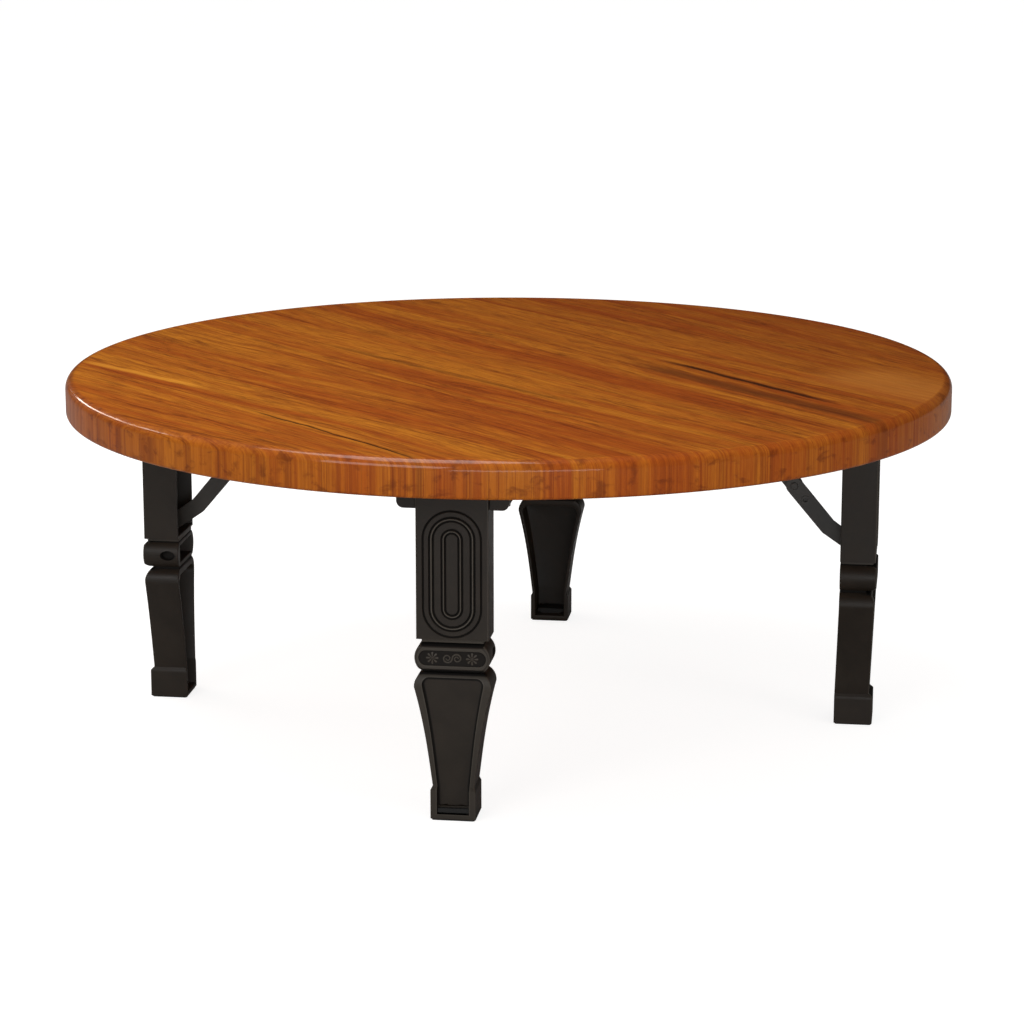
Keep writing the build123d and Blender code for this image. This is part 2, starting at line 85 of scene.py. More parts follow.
# %% [markdown]
# ## Putting numpy surfaces into Blender
# A surface here is a stack of closed loops, all with the same number of points. Point (i, j) is point j
# of loop i, and each small face joins two neighbours on one loop to the same two on the next. This is
# quicker to write and to change than modelling by hand, and every shape stays a formula.

# %% Stacks of loops
def loop_faces(loops, count, start=0):
    """Quads of a stack of closed loops: corner (i, j) is number start + i * count + j, and the quad
    joins (i, j), (i, j + 1), (i + 1, j + 1), (i + 1, j), with j + 1 taken round the loop."""
    i, j = np.meshgrid(np.arange(loops - 1), np.arange(count), indexing="ij")
    after = (j + 1) % count
    quads = np.stack([i * count + j, i * count + after, (i + 1) * count + after, (i + 1) * count + j], -1)
    return quads.reshape(-1, 4) + start


def joined(shells):
    """Several shells as one: each is an array of loops (loops, points, 3 or 4)."""
    points, quads, start = [], [], 0
    for shell in shells:
        loops, count, size = shell.shape
        points.append(shell.reshape(-1, size))
        quads.append(loop_faces(loops, count, start))
        start += loops * count
    return np.concatenate(points), np.concatenate(quads)


def marked(shell, painted_light=0.0):
    """Points with a fourth number, their painted light: 1 is painted shade, as in the depth of a groove, 0 a
    plain face, -1 a painted highlight, as on a ridge.
    """
    return np.concatenate([shell, np.broadcast_to(painted_light, shell.shape[:-1])[..., None]], -1)


print("3 loops of 8 points have", len(loop_faces(3, 8)), "faces")


# %% Meshes and pieces
def new_mesh(name, points, faces):
    """A mesh from points and faces. A fourth number of the points, their painted shade and highlight, is
    stored as a point attribute.
    """
    mesh = bpy.data.meshes.new(name)
    mesh.from_pydata(points[:, :3].tolist(), [], [list(f) for f in faces])
    # The fourth number is painted light: the leg plastic turns it into painted shade and painted highlight.
    if points.shape[1] == 4:
        relief_and_painted_light = mesh.attributes.new("relief_and_painted_light", "FLOAT", "POINT")
        relief_and_painted_light.data.foreach_set("value", points[:, 3].astype(np.float32))
    return mesh


def clean(mesh, dissolve=True):
    """Merge doubled points, drop faces without area and turn the normals outwards."""
    work = bmesh.new()
    work.from_mesh(mesh)
    bmesh.ops.remove_doubles(work, verts=work.verts, dist=1e-6)
    if dissolve:
        bmesh.ops.dissolve_degenerate(work, edges=work.edges, dist=1e-7)
    bmesh.ops.recalc_face_normals(work, faces=work.faces)
    work.to_mesh(mesh)
    work.free()


def piece(name, points, quads, body, replaced, slot, material, caps=(), smooth_below=35):
    """A cleaned mesh object from points and quads, its sharp edges marked, on a body. The slot argument is
    not used.
    """
    mesh = new_mesh(name, points, [*list(quads), *caps])
    clean(mesh)
    mesh.shade_smooth()
    mesh.set_sharp_from_angle(angle=math.radians(smooth_below))
    mesh.materials.append(material)
    made = bpy.data.objects.new(name, mesh)
    bpy.context.scene.collection.objects.link(made)
    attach(made, body)
    if replaced:
        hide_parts(*replaced)
    return made


# %% [markdown]
# ## Shader building blocks
# Wood, plastic, paint, zinc and rubber each get a procedural material. What several of them share (fine
# mould texture and lighter sharp edges) is a node group with named inputs. Groups only put out masks and
# numbers; the shader itself stays in the material, with its fixed values typed on its own sockets.

# %% Helpers for node trees
class Nodes:
    """Puts nodes into one tree. Apart from put and fill, every method gives back an output socket."""

    def __init__(self, tree):
        self.tree = tree

    def fill(self, socket, value):
        """Link a socket to an output, or write a plain value into it."""
        if isinstance(value, bpy.types.NodeSocket):
            self.tree.links.new(value, socket)
        else:
            socket.default_value = value

    def put(self, kind, **settings):
        """A node of this kind. Settings name its properties; those called in_N fill input N."""
        made = self.tree.nodes.new(kind)
        for key, value in settings.items():
            if not key.startswith("in_"):
                setattr(made, key, value)
        for key, value in settings.items():
            if key.startswith("in_"):
                place = key[3:]
                self.fill(made.inputs[int(place) if place.isdigit() else place.replace("_", " ")], value)
        return made

    def math(self, operation, a, b=0.0, c=0.0):
        """One Math node's result."""
        return self.put("ShaderNodeMath", operation=operation, in_0=a, in_1=b, in_2=c).outputs[0]

    def times(self, a, b):
        return self.math("MULTIPLY", a, b)

    def less(self, a, b):
        return self.math("SUBTRACT", a, b)

    def line(self, a, slope, start):
        """start + slope * a."""
        return self.math("MULTIPLY_ADD", a, slope, start)

    def spread(self, value, low, high, new_low=0.0, new_high=1.0, smooth=True):
        """value moved from low..high to new_low..new_high, held at the ends."""
        kind = "SMOOTHSTEP" if smooth else "LINEAR"
        return self.put("ShaderNodeMapRange", interpolation_type=kind, clamp=True, in_0=value, in_1=low,
                        in_2=high, in_3=new_low, in_4=new_high).outputs[0]

    def noise(self, vector, scale, detail=3.0, roughness=0.5, distortion=0.0):
        """A Noise Texture's value."""
        return self.put("ShaderNodeTexNoise", in_Vector=vector, in_Scale=scale, in_Detail=detail,
                        in_Roughness=roughness, in_Distortion=distortion).outputs["Fac"]

    def mix(self, share, a, b):
        """A colour between a and b."""
        return self.put("ShaderNodeMix", data_type="RGBA", in_0=share, in_6=a, in_7=b).outputs[2]

    def vector(self, x, y, z=0.0):
        """Three numbers as one vector."""
        return self.put("ShaderNodeCombineXYZ", in_0=x, in_1=y, in_2=z).outputs[0]

    def split(self, vector):
        """A vector's three numbers."""
        return self.put("ShaderNodeSeparateXYZ", in_0=vector).outputs

    def attribute(self, name):
        """A number that the mesh carries."""
        return self.put("ShaderNodeAttribute", attribute_name=name).outputs["Fac"]

    def spot(self):
        """The place on the object, in metres."""
        return self.put("ShaderNodeTexCoord").outputs["Object"]


print("a tool for node trees with", len(vars(Nodes)), "entries")


# %% New groups, materials and colours
def new_group(name, inputs, outputs):
    """An empty node group with named inputs (kind, name, value) and outputs (kind, name)."""
    group = bpy.data.node_groups.new(name, "ShaderNodeTree")
    for kind, socket, value in inputs:
        made = group.interface.new_socket(name=socket, in_out="INPUT", socket_type="NodeSocket" + kind)
        if value is not None:
            made.default_value = value
    for kind, socket in outputs:
        group.interface.new_socket(name=socket, in_out="OUTPUT", socket_type="NodeSocket" + kind)
    return Nodes(group), group.nodes.new("NodeGroupInput").outputs, group.nodes.new("NodeGroupOutput").inputs


def new_material(name):
    """A material, the tool for its nodes, and the inputs of its Principled BSDF."""
    material = bpy.data.materials.new(name)
    material.use_nodes = True
    return material, Nodes(material.node_tree), material.node_tree.nodes["Principled BSDF"].inputs


def srgb(r, g, b):
    """A colour given as it looks on screen, 0 to 255, as linear RGBA."""
    shown = np.array([r, g, b]) / 255
    linear = np.where(shown <= 0.04045, shown / 12.92, ((shown + 0.055) / 1.055) ** 2.4)
    return (*linear.tolist(), 1.0)


print("a screen grey of 128 is", round(srgb(128, 128, 128)[0], 3), "in linear light")

# %% [markdown]
# ## The wood's pattern
# The boards are a warm brown timber, sawn so that the year rings run along them as long wavy lines. On
# the real table the lines run on over the rounded edge and straight down the rim, so the pattern is
# drawn in two numbers only: the place along the grain and the place across it. Waves come from bending
# the across number with slow noise before the rings are counted.

# %% Node group: wood grain
def stretched(n, along, across, long_scale, cross_scale, detail, roughness=0.55):
    """Noise that is drawn out along the grain: long_scale and cross_scale count its waves per metre."""
    return n.noise(n.vector(n.times(along, long_scale), n.times(across, cross_scale)), 1.0, detail, roughness)


def ring_strength(n, number):
    """A fixed random darkness for each year ring."""
    drawn = n.put("ShaderNodeTexWhiteNoise", noise_dimensions="1D", in_W=number).outputs["Value"]
    return n.spread(drawn, 0.1, 1.0, 0.12, 1.0, smooth=False)


n, given, result = new_group(
    "WoodGrain",
    [("Vector", "Place", None), ("Float", "Rings per metre", 80.0), ("Float", "Wave", 0.010)],
    [("Float", "Band"), ("Float", "Rings"), ("Float", "Lines"), ("Float", "Fibre"), ("Float", "Pores")])
wood_grain = n.tree
along, across, _ = n.split(given["Place"])
slow = n.less(stretched(n, along, across, 1.7, 7.0, 2.0), 0.5)
quick = n.less(stretched(n, along, across, 8.0, 50.0, 3.0), 0.5)
bent = n.line(n.line(slow, 5.0, n.times(quick, 0.7)), given["Wave"], across)
uneven = n.times(stretched(n, along, bent, 0.5, 16.0, 2.0), 5.0)
ringed = n.line(bent, given["Rings per metre"], uneven)
number = n.math("FLOOR", ringed)
saw = n.math("FRACT", ringed)
late = n.times(n.math("POWER", saw, 4.0), ring_strength(n, number))
early = n.times(n.spread(saw, 0.0, 0.08, 1.0, 0.0), ring_strength(n, n.less(number, 1.0)))
fading = n.spread(stretched(n, along, bent, 5.0, 34.0, 3.0), 0.36, 0.60, 0.1, 1.0)
crossing = stretched(n, along, bent, 7.0, 150.0, 5.0, 0.62)
patch = n.spread(stretched(n, along, bent, 5.0, 55.0, 3.0), 0.44, 0.62)
fine_lines = n.spread(n.math("ABSOLUTE", n.less(crossing, 0.5)), 0.0, 0.045, 1.0, 0.0)
for name, value in (("Rings", n.times(n.math("MAXIMUM", late, early), fading)),
                    ("Band", stretched(n, along, bent, 1.5, 30.0, 4.0, 0.6)),
                    ("Lines", n.times(fine_lines, patch)),
                    ("Fibre", stretched(n, along, bent, 20.0, 440.0, 4.0, 0.72)),
                    ("Pores", n.spread(stretched(n, along, bent, 42.0, 1500.0, 1.0), 0.60, 0.72))):
    n.fill(result[name], value)
print("wood group nodes:", len(wood_grain.nodes))

# %% [markdown]
# ### Single streaks
# A few marks give these boards their face: a pale yellow streak, a dark one, and a fine line that
# looks like a closed crack. Each is a soft line between two places along the grain.

# %% Node group: one streak
n, given, result = new_group(
    "WoodStreak",
    [("Vector", "Place", None), ("Float", "Middle along", 0.0), ("Float", "Middle across", 0.0),
     ("Float", "Half length", 0.1), ("Float", "Half width", 0.003), ("Float", "Slope", 0.0),
     ("Float", "Curve", 0.0)],
    [("Float", "Mask")])
wood_streak = n.tree
along, across, _ = n.split(given["Place"])
reach = n.less(along, given["Middle along"])
side = n.less(n.less(across, given["Middle across"]), n.times(reach, given["Slope"]))
side = n.less(side, n.times(n.times(reach, reach), given["Curve"]))
wobble = n.noise(n.vector(n.times(along, 22.0), n.times(across, 30.0)), 1.0, 2.0, 0.5)
side = n.math("ADD", side, n.times(n.less(wobble, 0.5), 0.006))
near = n.math("DIVIDE", n.math("ABSOLUTE", side), given["Half width"])
ends = n.math("DIVIDE", n.math("ABSOLUTE", reach), given["Half length"])
n.fill(result["Mask"], n.times(n.spread(near, 0.2, 1.0, 1.0, 0.0), n.spread(ends, 0.55, 1.0, 1.0, 0.0)))
print("streak group nodes:", len(wood_streak.nodes))

# %% [markdown]
# ### The lacquered wood
# Each board has its own tone, stored on its mesh as "board_tone", because a glued top is put together
# from boards of different trees. The lacquer is the shader's coat: smooth, clear and hard. The wood
# under it is rougher, which gives the deep look of a filled and polished top.

# %% Wood colours and streaks
PALE = srgb(220, 135, 32)
MIDDLE = srgb(188, 92, 18)
DEEP = srgb(124, 47, 8)
LINE = srgb(88, 31, 5)
DARK = srgb(52, 20, 8)
RIM_BROWN = srgb(136, 64, 14)
STREAKS = [
    # name, middle along and across, half length, half width, slope, curve, colour, strength
    ("yellow", -0.178, -0.2725, 0.105, 0.0072, 0.05, 0.0, srgb(238, 158, 48), 0.66),
    ("crack", 0.150, -0.3010, 0.15, 0.0021, -0.06, -0.12, DARK, 0.9),
    ("beside the crack", 0.120, -0.2935, 0.12, 0.004, -0.06, 0.0, srgb(222, 140, 44), 0.3),
    ("dark", 0.180, 0.133, 0.14, 0.0060, -0.03, 0.0, DARK, 0.9),
    ("shade", 0.235, 0.104, 0.22, 0.016, 0.0, 0.0, srgb(84, 40, 14), 0.60),
    ("glow", 0.33, 0.235, 0.16, 0.07, 0.0, 0.0, srgb(206, 132, 52), 0.45),
    ("brown", -0.02, -0.06, 0.22, 0.006, 0.02, 0.0, DARK, 0.35),
]
print("streaks:", len(STREAKS))

# %% Wood material
wood, n, shader = new_material("wood_lacquer")
spot = n.spot()
turned = n.put("ShaderNodeMapping", in_Vector=spot, in_Rotation=(0, 0, -GRAIN_ANGLE)).outputs[0]
along, across, _ = n.split(turned)
across = n.math("ADD", across, n.times(n.times(along, across), 0.20))
place = n.vector(n.math("ADD", along, n.attribute("board_seed")), across)
grain = n.put("ShaderNodeGroup", node_tree=wood_grain, in_Place=place, in_Rings_per_metre=80.0,
              in_Wave=0.010).outputs

flat_spot = n.put("ShaderNodeVectorMath", operation="MULTIPLY", in_0=spot, in_1=(1, 1, 0)).outputs[0]
radius_now = n.put("ShaderNodeVectorMath", operation="LENGTH", in_0=flat_spot).outputs["Value"]
on_rim = n.spread(radius_now, top_radius - 8.5 * MM, top_radius - 5.5 * MM)
low_down = n.spread(n.split(spot)[2], top_height - 10 * MM, top_height - 6 * MM, 1.0, 0.0)

body = n.mix(n.spread(grain["Band"], 0.36, 0.64), PALE, MIDDLE)
body = n.mix(n.attribute("board_tone"), body, DEEP)
body = n.mix(n.times(grain["Rings"], n.line(on_rim, -0.50, 0.85)), body, DEEP)
body = n.mix(n.times(grain["Lines"], 0.62), body, LINE)
body = n.mix(n.spread(grain["Fibre"], 0.42, 0.66, 0.0, 0.62), body, DEEP)
body = n.mix(n.spread(grain["Fibre"], 0.30, 0.42, 0.30, 0.0), body, PALE)
body = n.mix(n.times(grain["Pores"], 0.5), body, DARK)
plain_place = n.vector(along, across)
for title, middle_along, middle_across, half_length, half_width, slope, curve, colour, strength in STREAKS:
    streak = n.put("ShaderNodeGroup", node_tree=wood_streak, label=title, in_Place=plain_place,
                   in_Middle_along=middle_along, in_Middle_across=middle_across, in_Half_length=half_length,
                   in_Half_width=half_width, in_Slope=slope, in_Curve=curve).outputs[0]
    body = n.mix(n.times(streak, strength), body, colour)
body = n.mix(n.times(on_rim, n.line(low_down, -0.12, 0.48)), body, RIM_BROWN)
streaks = n.put("ShaderNodeMapping", in_Vector=spot, in_Scale=(330, 330, 26)).outputs[0]
streaks = n.spread(n.noise(streaks, 1.0, 4.0, 0.7), 0.42, 0.64, 0.0, 0.34)
body = n.mix(n.times(on_rim, streaks), body, DEEP)
blotches = n.put("ShaderNodeMapping", in_Vector=spot, in_Scale=(62, 62, 85)).outputs[0]
blotches = n.spread(n.noise(blotches, 1.0, 4.0, 0.6, 0.4), 0.52, 0.68, 0.0, 0.5)
n.fill(shader["Base Color"], n.mix(n.times(on_rim, blotches), body, LINE))
n.fill(shader["Roughness"], n.spread(grain["Fibre"], 0.2, 0.8, 0.42, 0.55))
n.fill(shader["Coat Weight"], n.line(low_down, -0.4, 0.7))
shader["Specular IOR Level"].default_value = 0.1
shader["Coat Roughness"].default_value = 0.09
shader["Coat IOR"].default_value = 1.4
height = n.line(grain["Pores"], -0.6, n.times(grain["Lines"], -0.25))
bump = n.put("ShaderNodeBump", in_Strength=0.12, in_Distance=0.0004, in_Height=height)
n.fill(shader["Normal"], bump.outputs[0])
print("wood material nodes:", len(n.tree.nodes))

# %% [markdown]
# ## The top's boards
# The top is eight boards glued edge to edge, turned to a disc and rounded over at the rim. It could be
# one lathed disc, but separate boards keep the glue lines true. Each board is a stack of loops, one
# for each place v across the grain. A loop runs over the top, down the rim and back underneath.

# %% The disc's section
UPPER_ROUND = 9 * MM
LOWER_ROUND = 3 * MM
RIM_STEP = math.radians(0.75)


def rounding(radius, steps):
    """A quarter round as (inset, depth) pairs from the face to the side: inset = r (1 - sin a) and
    depth = r (1 - cos a), with a from 0 to 90 degrees."""
    a = np.linspace(0, math.pi / 2, steps)
    return np.stack([radius * (1 - np.sin(a)), radius * (1 - np.cos(a))], -1)


def rim_profile():
    """The disc's half section from its middle on top round to its middle below: pairs (rho, z)."""
    points = [(rho, top_height) for rho in (0, 0.5 * top_radius, top_radius - UPPER_ROUND - 1 * MM)]
    points += [(top_radius - inset, top_height - depth) for inset, depth in rounding(UPPER_ROUND, 11)]
    points += [(top_radius, (top_height + top_underside) / 2)]
    points += [(top_radius - inset, top_underside + depth) for inset, depth in rounding(LOWER_ROUND, 6)[::-1]]
    points += [(top_radius - LOWER_ROUND - 1 * MM, top_underside), (0, top_underside)]
    return np.array(points)


def edge_height(rho, upper):
    """Height of the rounded-over top or bottom face at distance rho from the middle."""
    radius = UPPER_ROUND if upper else LOWER_ROUND
    past = np.clip(rho - (top_radius - radius), 0, radius)
    drop = radius - np.sqrt(radius**2 - past**2)
    return top_height - drop if upper else top_underside + drop


print("points in the section:", len(rim_profile()))


# %% One board of the disc
def board(low, high):
    """One board between low and high across the grain. Row v is the section of the disc there:
    along = sqrt(max(rho, |v|)^2 - v^2), and where |v| is the larger the height is the edge's own."""
    profile = rim_profile()
    start, end = math.asin(max(-1, low / top_radius)), math.asin(min(1, high / top_radius))
    rows = max(4, round((end - start) / RIM_STEP))
    across = top_radius * np.sin(np.linspace(start, end, rows + 1))[:, None]
    rho, z = profile[:, 0][None], profile[:, 1][None]
    inside = np.abs(across) > rho
    reach = np.maximum(rho, np.abs(across))
    along = np.sqrt(np.maximum(reach**2 - across**2, 0))
    is_upper = z > (top_height + top_underside) / 2
    held = np.where(is_upper, edge_height(np.abs(across), True), edge_height(np.abs(across), False))
    half = np.stack([along, np.broadcast_to(across, along.shape), np.where(inside, held, z)], -1)
    other = half[:, ::-1] * np.array([-1, 1, 1])
    loops = np.concatenate([half, other], 1)
    turn = np.array([[math.cos(GRAIN_ANGLE), math.sin(GRAIN_ANGLE), 0],
                     [-math.sin(GRAIN_ANGLE), math.cos(GRAIN_ANGLE), 0], [0, 0, 1]])
    return loops @ turn


print("loops of a middle board:", board(0, board_width).shape)

# %% Make the eight boards
BOARD_TONES = [0.10, 0.16, 0.20, 0.24, 0.30, 0.38, 0.50, 0.55]
for index in range(BOARD_COUNT):
    low = index * board_width - top_radius
    loops = board(low, low + board_width)
    rows, count, _ = loops.shape
    caps = [list(range(count))[::-1], list(range((rows - 1) * count, rows * count))]
    name = f"top_board_{index + 1}"
    made = piece("lacquered_" + name, *joined([loops]), "top", [name], "wood_lacquer", wood, caps, 30)
    for title, value in (("board_tone", BOARD_TONES[index]), ("board_seed", 1.7 * index)):
        attribute = made.data.attributes.new(title, "FLOAT", "POINT")
        attribute.data.foreach_set("value", np.full(len(made.data.vertices), value, np.float32))
print("boards:", BOARD_COUNT, "corners on the last:", len(made.data.vertices))

# %% [markdown]
# ## Black moulded plastic
# The legs and the hinge bases are injection-moulded. The mould is lightly etched, which gives the black
# plastic its satin face. On the legs, grooves and hollows get painted shade, and ridges and rounded edges a
# painted highlight.

# %% Node groups: mould texture and lighter edges
n, given, result = new_group(
    "MouldSkin", [("Vector", "Place", None), ("Float", "Grain per metre", 1800.0)],
    [("Float", "Height"), ("Float", "Cloud")])
mould_skin = n.tree
n.fill(result["Height"], n.noise(given["Place"], given["Grain per metre"], 2.0, 0.6))
n.fill(result["Cloud"], n.noise(given["Place"], 22.0, 4.0, 0.6))

n, given, result = new_group("EdgeLightening", [("Float", "Amount", 0.5)], [("Float", "Mask")])
edge_lightening = n.tree
pointy = n.put("ShaderNodeNewGeometry").outputs["Pointiness"]
n.fill(result["Mask"], n.times(n.spread(pointy, 0.51, 0.60), given["Amount"]))
print("node groups:", sorted(group.name for group in bpy.data.node_groups))


# %% Leg plastic
def moulded(name, dark, light, grain_size, strength, bump_depth):
    """The start of a finish: two tones in clouds over a finely grained skin. It gives back the
    material, its tool and shader inputs, the body colour and the cloud."""
    material, n, shader = new_material(name)
    skin = n.put("ShaderNodeGroup", node_tree=mould_skin, in_Place=n.spot(),
                 in_Grain_per_metre=grain_size).outputs
    body = n.mix(n.spread(skin["Cloud"], 0.35, 0.65), dark, light)
    bump = n.put("ShaderNodeBump", in_Strength=strength, in_Distance=bump_depth, in_Height=skin["Height"])
    n.fill(shader["Normal"], bump.outputs[0])
    return material, n, shader, body, skin["Cloud"]


PAINTED_HIGHLIGHT_BLACK = srgb(76, 71, 64)
PAINTED_SHADE_BLACK = srgb(7, 5, 4)
plastic, n, shader, body, cloud = moulded("leg_plastic", srgb(34, 28, 22), srgb(41, 34, 27), 1800.0, 0.25,
                                          0.00008)
relief_and_painted_light = n.attribute("relief_and_painted_light")
# Painted shade: a positive painted light value turns the colour towards near black.
body = n.mix(n.spread(relief_and_painted_light, 0.0, 1.0, 0.0, 0.92, smooth=False), body, PAINTED_SHADE_BLACK)
# Painted highlight: a negative painted light value turns the colour towards a lighter grey.
n.fill(shader["Base Color"], n.mix(n.spread(relief_and_painted_light, -1.0, 0.0, 0.9, 0.0, smooth=False), body, PAINTED_HIGHLIGHT_BLACK))
rough = n.spread(cloud, 0.3, 0.7, 0.42, 0.52)
n.fill(shader["Roughness"], n.spread(relief_and_painted_light, 0.0, 1.0, rough, 0.85, smooth=False))
shader["Specular IOR Level"].default_value = 0.3
print("plastic nodes:", len(n.tree.nodes))

# %% [markdown]
# ## The legs
# A leg is one hollow moulding, open towards the middle of the table: a box with racetrack rings, a bead
# between two necks, and a taper with a sunk panel that ends in a foot. Each part is a tray. Its loops
# start on the middle line of the front, run outwards over the ornament and the rounded edge, down the
# side, round the back rim and into the hollow. All are drawn for the leg on +X and then turned.

# %% Sizes of the moulding
WALL = 3 * MM
BOX_HALF = 30 * MM
BOX_FOOT_Z = 155.4 * MM
BOX_FLOOR_Z = 158 * MM
LEG_TOP_Z = leg_high.z
EDGE_ROUND = 0.9 * MM
BACK_ROUND = 0.6 * MM
RING_MIDDLE_Z = 211 * MM
RING_STRAIGHT = 58 * MM
GROOVES = [24 * MM, 18.6 * MM, 15.6 * MM, 8.4 * MM, 5.6 * MM]
GROOVE_HALF = 0.9 * MM
GROOVE_DEPTH = 1.3 * MM
RAISED = [(17.1 * MM, 1.0 * MM, 0.8 * MM), (7.0 * MM, 0.9 * MM, 0.8 * MM)]
PIVOT_X, PIVOT_Z, PIVOT_ROUND, BOSS_ROUND = 319 * MM, 270.5 * MM, 14 * MM, 6.5 * MM
LUG_X, LUG_Z, LUG_ROUND, LUG_ROOT_X = 313 * MM, 167 * MM, 6.5 * MM, 335 * MM


def back_of_box(z):
    """Inner face of the box: flat, with its upper corner an arc about the leg's axle."""
    rise = np.clip(z - PIVOT_Z, 0, PIVOT_ROUND)
    return PIVOT_X - np.sqrt(PIVOT_ROUND**2 - rise**2)


print("the box is", round((box_outer_x - back_of_box(BOX_FOOT_Z)) / MM, 1), "mm deep")


# %% Curves as points
def arc_through(p, q, r, count):
    """count points on the circle through p, q and r, from p up to, but without, r."""
    (ax, ay), (bx, by), (cx, cy) = p, q, r
    d = 2 * (ax * (by - cy) + bx * (cy - ay) + cx * (ay - by))
    a2, b2, c2 = ax**2 + ay**2, bx**2 + by**2, cx**2 + cy**2
    mx = (a2 * (by - cy) + b2 * (cy - ay) + c2 * (ay - by)) / d
    my = (a2 * (cx - bx) + b2 * (ax - cx) + c2 * (bx - ax)) / d
    start, middle, end = (math.atan2(y - my, x - mx) for x, y in (p, q, r))
    sweep = (end - start + math.pi) % (2 * math.pi) - math.pi
    if (middle - start) * sweep < 0 and abs(middle - start) < math.pi:
        sweep -= math.copysign(2 * math.pi, sweep)
    angles = start + sweep * np.arange(count) / count
    radius = math.hypot(ax - mx, ay - my)
    return np.stack([mx + radius * np.cos(angles), my + radius * np.sin(angles)], -1)


def arc(x, y, radius, start, end, count, endpoint=True):
    """Points on a circle about (x, y), between two angles in degrees."""
    a = np.linspace(math.radians(start), math.radians(end), count, endpoint=endpoint)
    return np.stack([x + radius * np.cos(a), y + radius * np.sin(a)], -1)


def straight(p, q, count):
    """count points on the line from p up to, but without, q."""
    share = (np.arange(count) / count)[:, None]
    return np.array(p) * (1 - share) + np.array(q) * share


def chain(corners, counts):
    """Straight runs from corner to corner, with these numbers of points, without the last corner."""
    return np.concatenate([straight(*run) for run in zip(corners, corners[1:], counts)])


print("a quarter circle:", arc(0, 0, 1, 0, 90, 3).round(2).tolist())


# %% Rounded edges of a tray
def held_rounding(radius, steps, hold=0.5 * MM):
    """A quarter round with one more loop on the flat at either end, which keeps the flats' shading flat."""
    return np.concatenate([[(radius + hold, 0)], rounding(radius, steps), [(0, radius + hold)]])


def new_tray():
    """An empty stack of loops and two functions for it. add appends a loop from its (y, z) points, their
    x and their painted light (painted shade above 0, painted highlight below 0). turn follows a rounded
    edge: each pair (inset, depth) adds outline_at(inset), standing way * depth off x_at, which is a number
    or a function of z; marks gives each loop its painted light."""
    loops = []

    def add(flat, x, painted_light=0.0):
        loops.append(marked(np.column_stack([np.broadcast_to(x, len(flat)), flat]), painted_light))

    def turn(outline_at, x_at, way, pairs, marks=0.0, shade=None):
        for (inset, depth), painted_light in zip(pairs, np.broadcast_to(marks, len(pairs))):
            flat = outline_at(inset)
            x = x_at(flat[:, 1]) if callable(x_at) else x_at
            add(flat, x + way * depth, shade(flat, painted_light) if shade else painted_light)

    return loops, add, turn


print("insets of a 1 mm edge, in mm:", (held_rounding(1 * MM, 4)[:, 0] / MM).round(2).tolist())


# %% Rays through the box's outline
def ring_directions():
    """The outline's directions as seen from the middle line: for each point, its place on that line and
    the way it looks. Two rays on each side go exactly to the box's corners."""
    end = RING_STRAIGHT / 2

    def quarter(to_corner):
        corner = math.atan2(to_corner, BOX_HALF)
        return np.concatenate([np.linspace(0, corner, 15)[:-1], np.linspace(corner, math.pi / 2, 15)])

    up, down = quarter(LEG_TOP_Z - RING_MIDDLE_Z - end), quarter(RING_MIDDLE_Z - end - BOX_FOOT_Z)
    line = np.linspace(-end, end, 21)[1:-1]
    angle = np.concatenate([-down[::-1], np.zeros(len(line)), up])
    centre = np.concatenate([np.full(len(down), -end), line, np.full(len(up), end)])
    right = np.stack([np.cos(angle), np.sin(angle)], -1)
    looks = np.concatenate([right, right[-2:0:-1] * [-1, 1]])
    places = np.concatenate([centre, centre[-2:0:-1]])
    return places + RING_MIDDLE_Z, looks


def rectangle(places, looks, half, low, high):
    """Where each ray meets the rectangle |y| <= half, low <= z <= high."""
    y, z = looks.T
    to_end = np.where(z > 0, high - places, places - low) / np.maximum(np.abs(z), 1e-9)
    reach = np.minimum(half / np.maximum(np.abs(y), 1e-9), to_end)
    return np.stack([y * reach, places + z * reach], -1)


print("rays:", len(ring_directions()[0]))


# %% The box with its rings
def ring_depth(rho):
    """Depth of the rings at half-width rho: a round-bottomed groove at each groove, less a raised bead."""
    depth = sum(GROOVE_DEPTH * np.maximum(0, 1 - ((rho - g) / GROOVE_HALF) ** 2) for g in GROOVES)
    for middle, half, rise in RAISED:
        depth = depth - rise * np.maximum(0, 1 - ((rho - middle) / half) ** 2)
    return depth


def box_tray():
    """The leg's upper box as a stack of loops."""
    places, looks = ring_directions()
    loops, add, turn = new_tray()

    def outer(inset):
        return rectangle(places, looks, BOX_HALF - inset, BOX_FOOT_Z + inset, LEG_TOP_Z - inset)

    def hollow(grow):
        return rectangle(places, looks, BOX_HALF - WALL + grow, BOX_FLOOR_Z - grow, LEG_TOP_Z - WALL + grow)

    # Painted shade in the ring grooves and painted highlight on the raised beads, both in step with the
    # depth.
    for rho in np.concatenate([[0, 2, 4], np.arange(4.6, 25.4, 0.2)]) * MM:
        depth = ring_depth(rho)
        add(np.stack([looks[:, 0] * rho, places + looks[:, 1] * rho], -1), box_outer_x - depth,
            np.clip(depth / MM * (0.9 if depth > 0 else 1.2), -1, 1))
    # Painted highlight on the front's rounded edge (-0.8 in the middle of the round).
    turn(outer, box_outer_x, -1, held_rounding(EDGE_ROUND, 4), (0, 0, -0.8, -0.8, 0, 0))
    turn(outer, back_of_box, 1, held_rounding(BACK_ROUND, 3)[::-1])
    turn(hollow, back_of_box, 1, rounding(BACK_ROUND, 3))
    turn(lambda inset: hollow(-inset), box_outer_x - WALL, -1, rounding(1.5 * MM, 4)[::-1])
    add(np.stack([np.zeros(len(places)), places], -1), box_outer_x - WALL)
    return np.array(loops)


print("box tray loops:", box_tray().shape)

# %% [markdown]
# ### The bead and the necks
# Under the box the leg narrows to a neck, swells to a bead like a turned one, and narrows again. The
# bead's face carries a long oval field. A deep groove parts the upper neck from the bead.

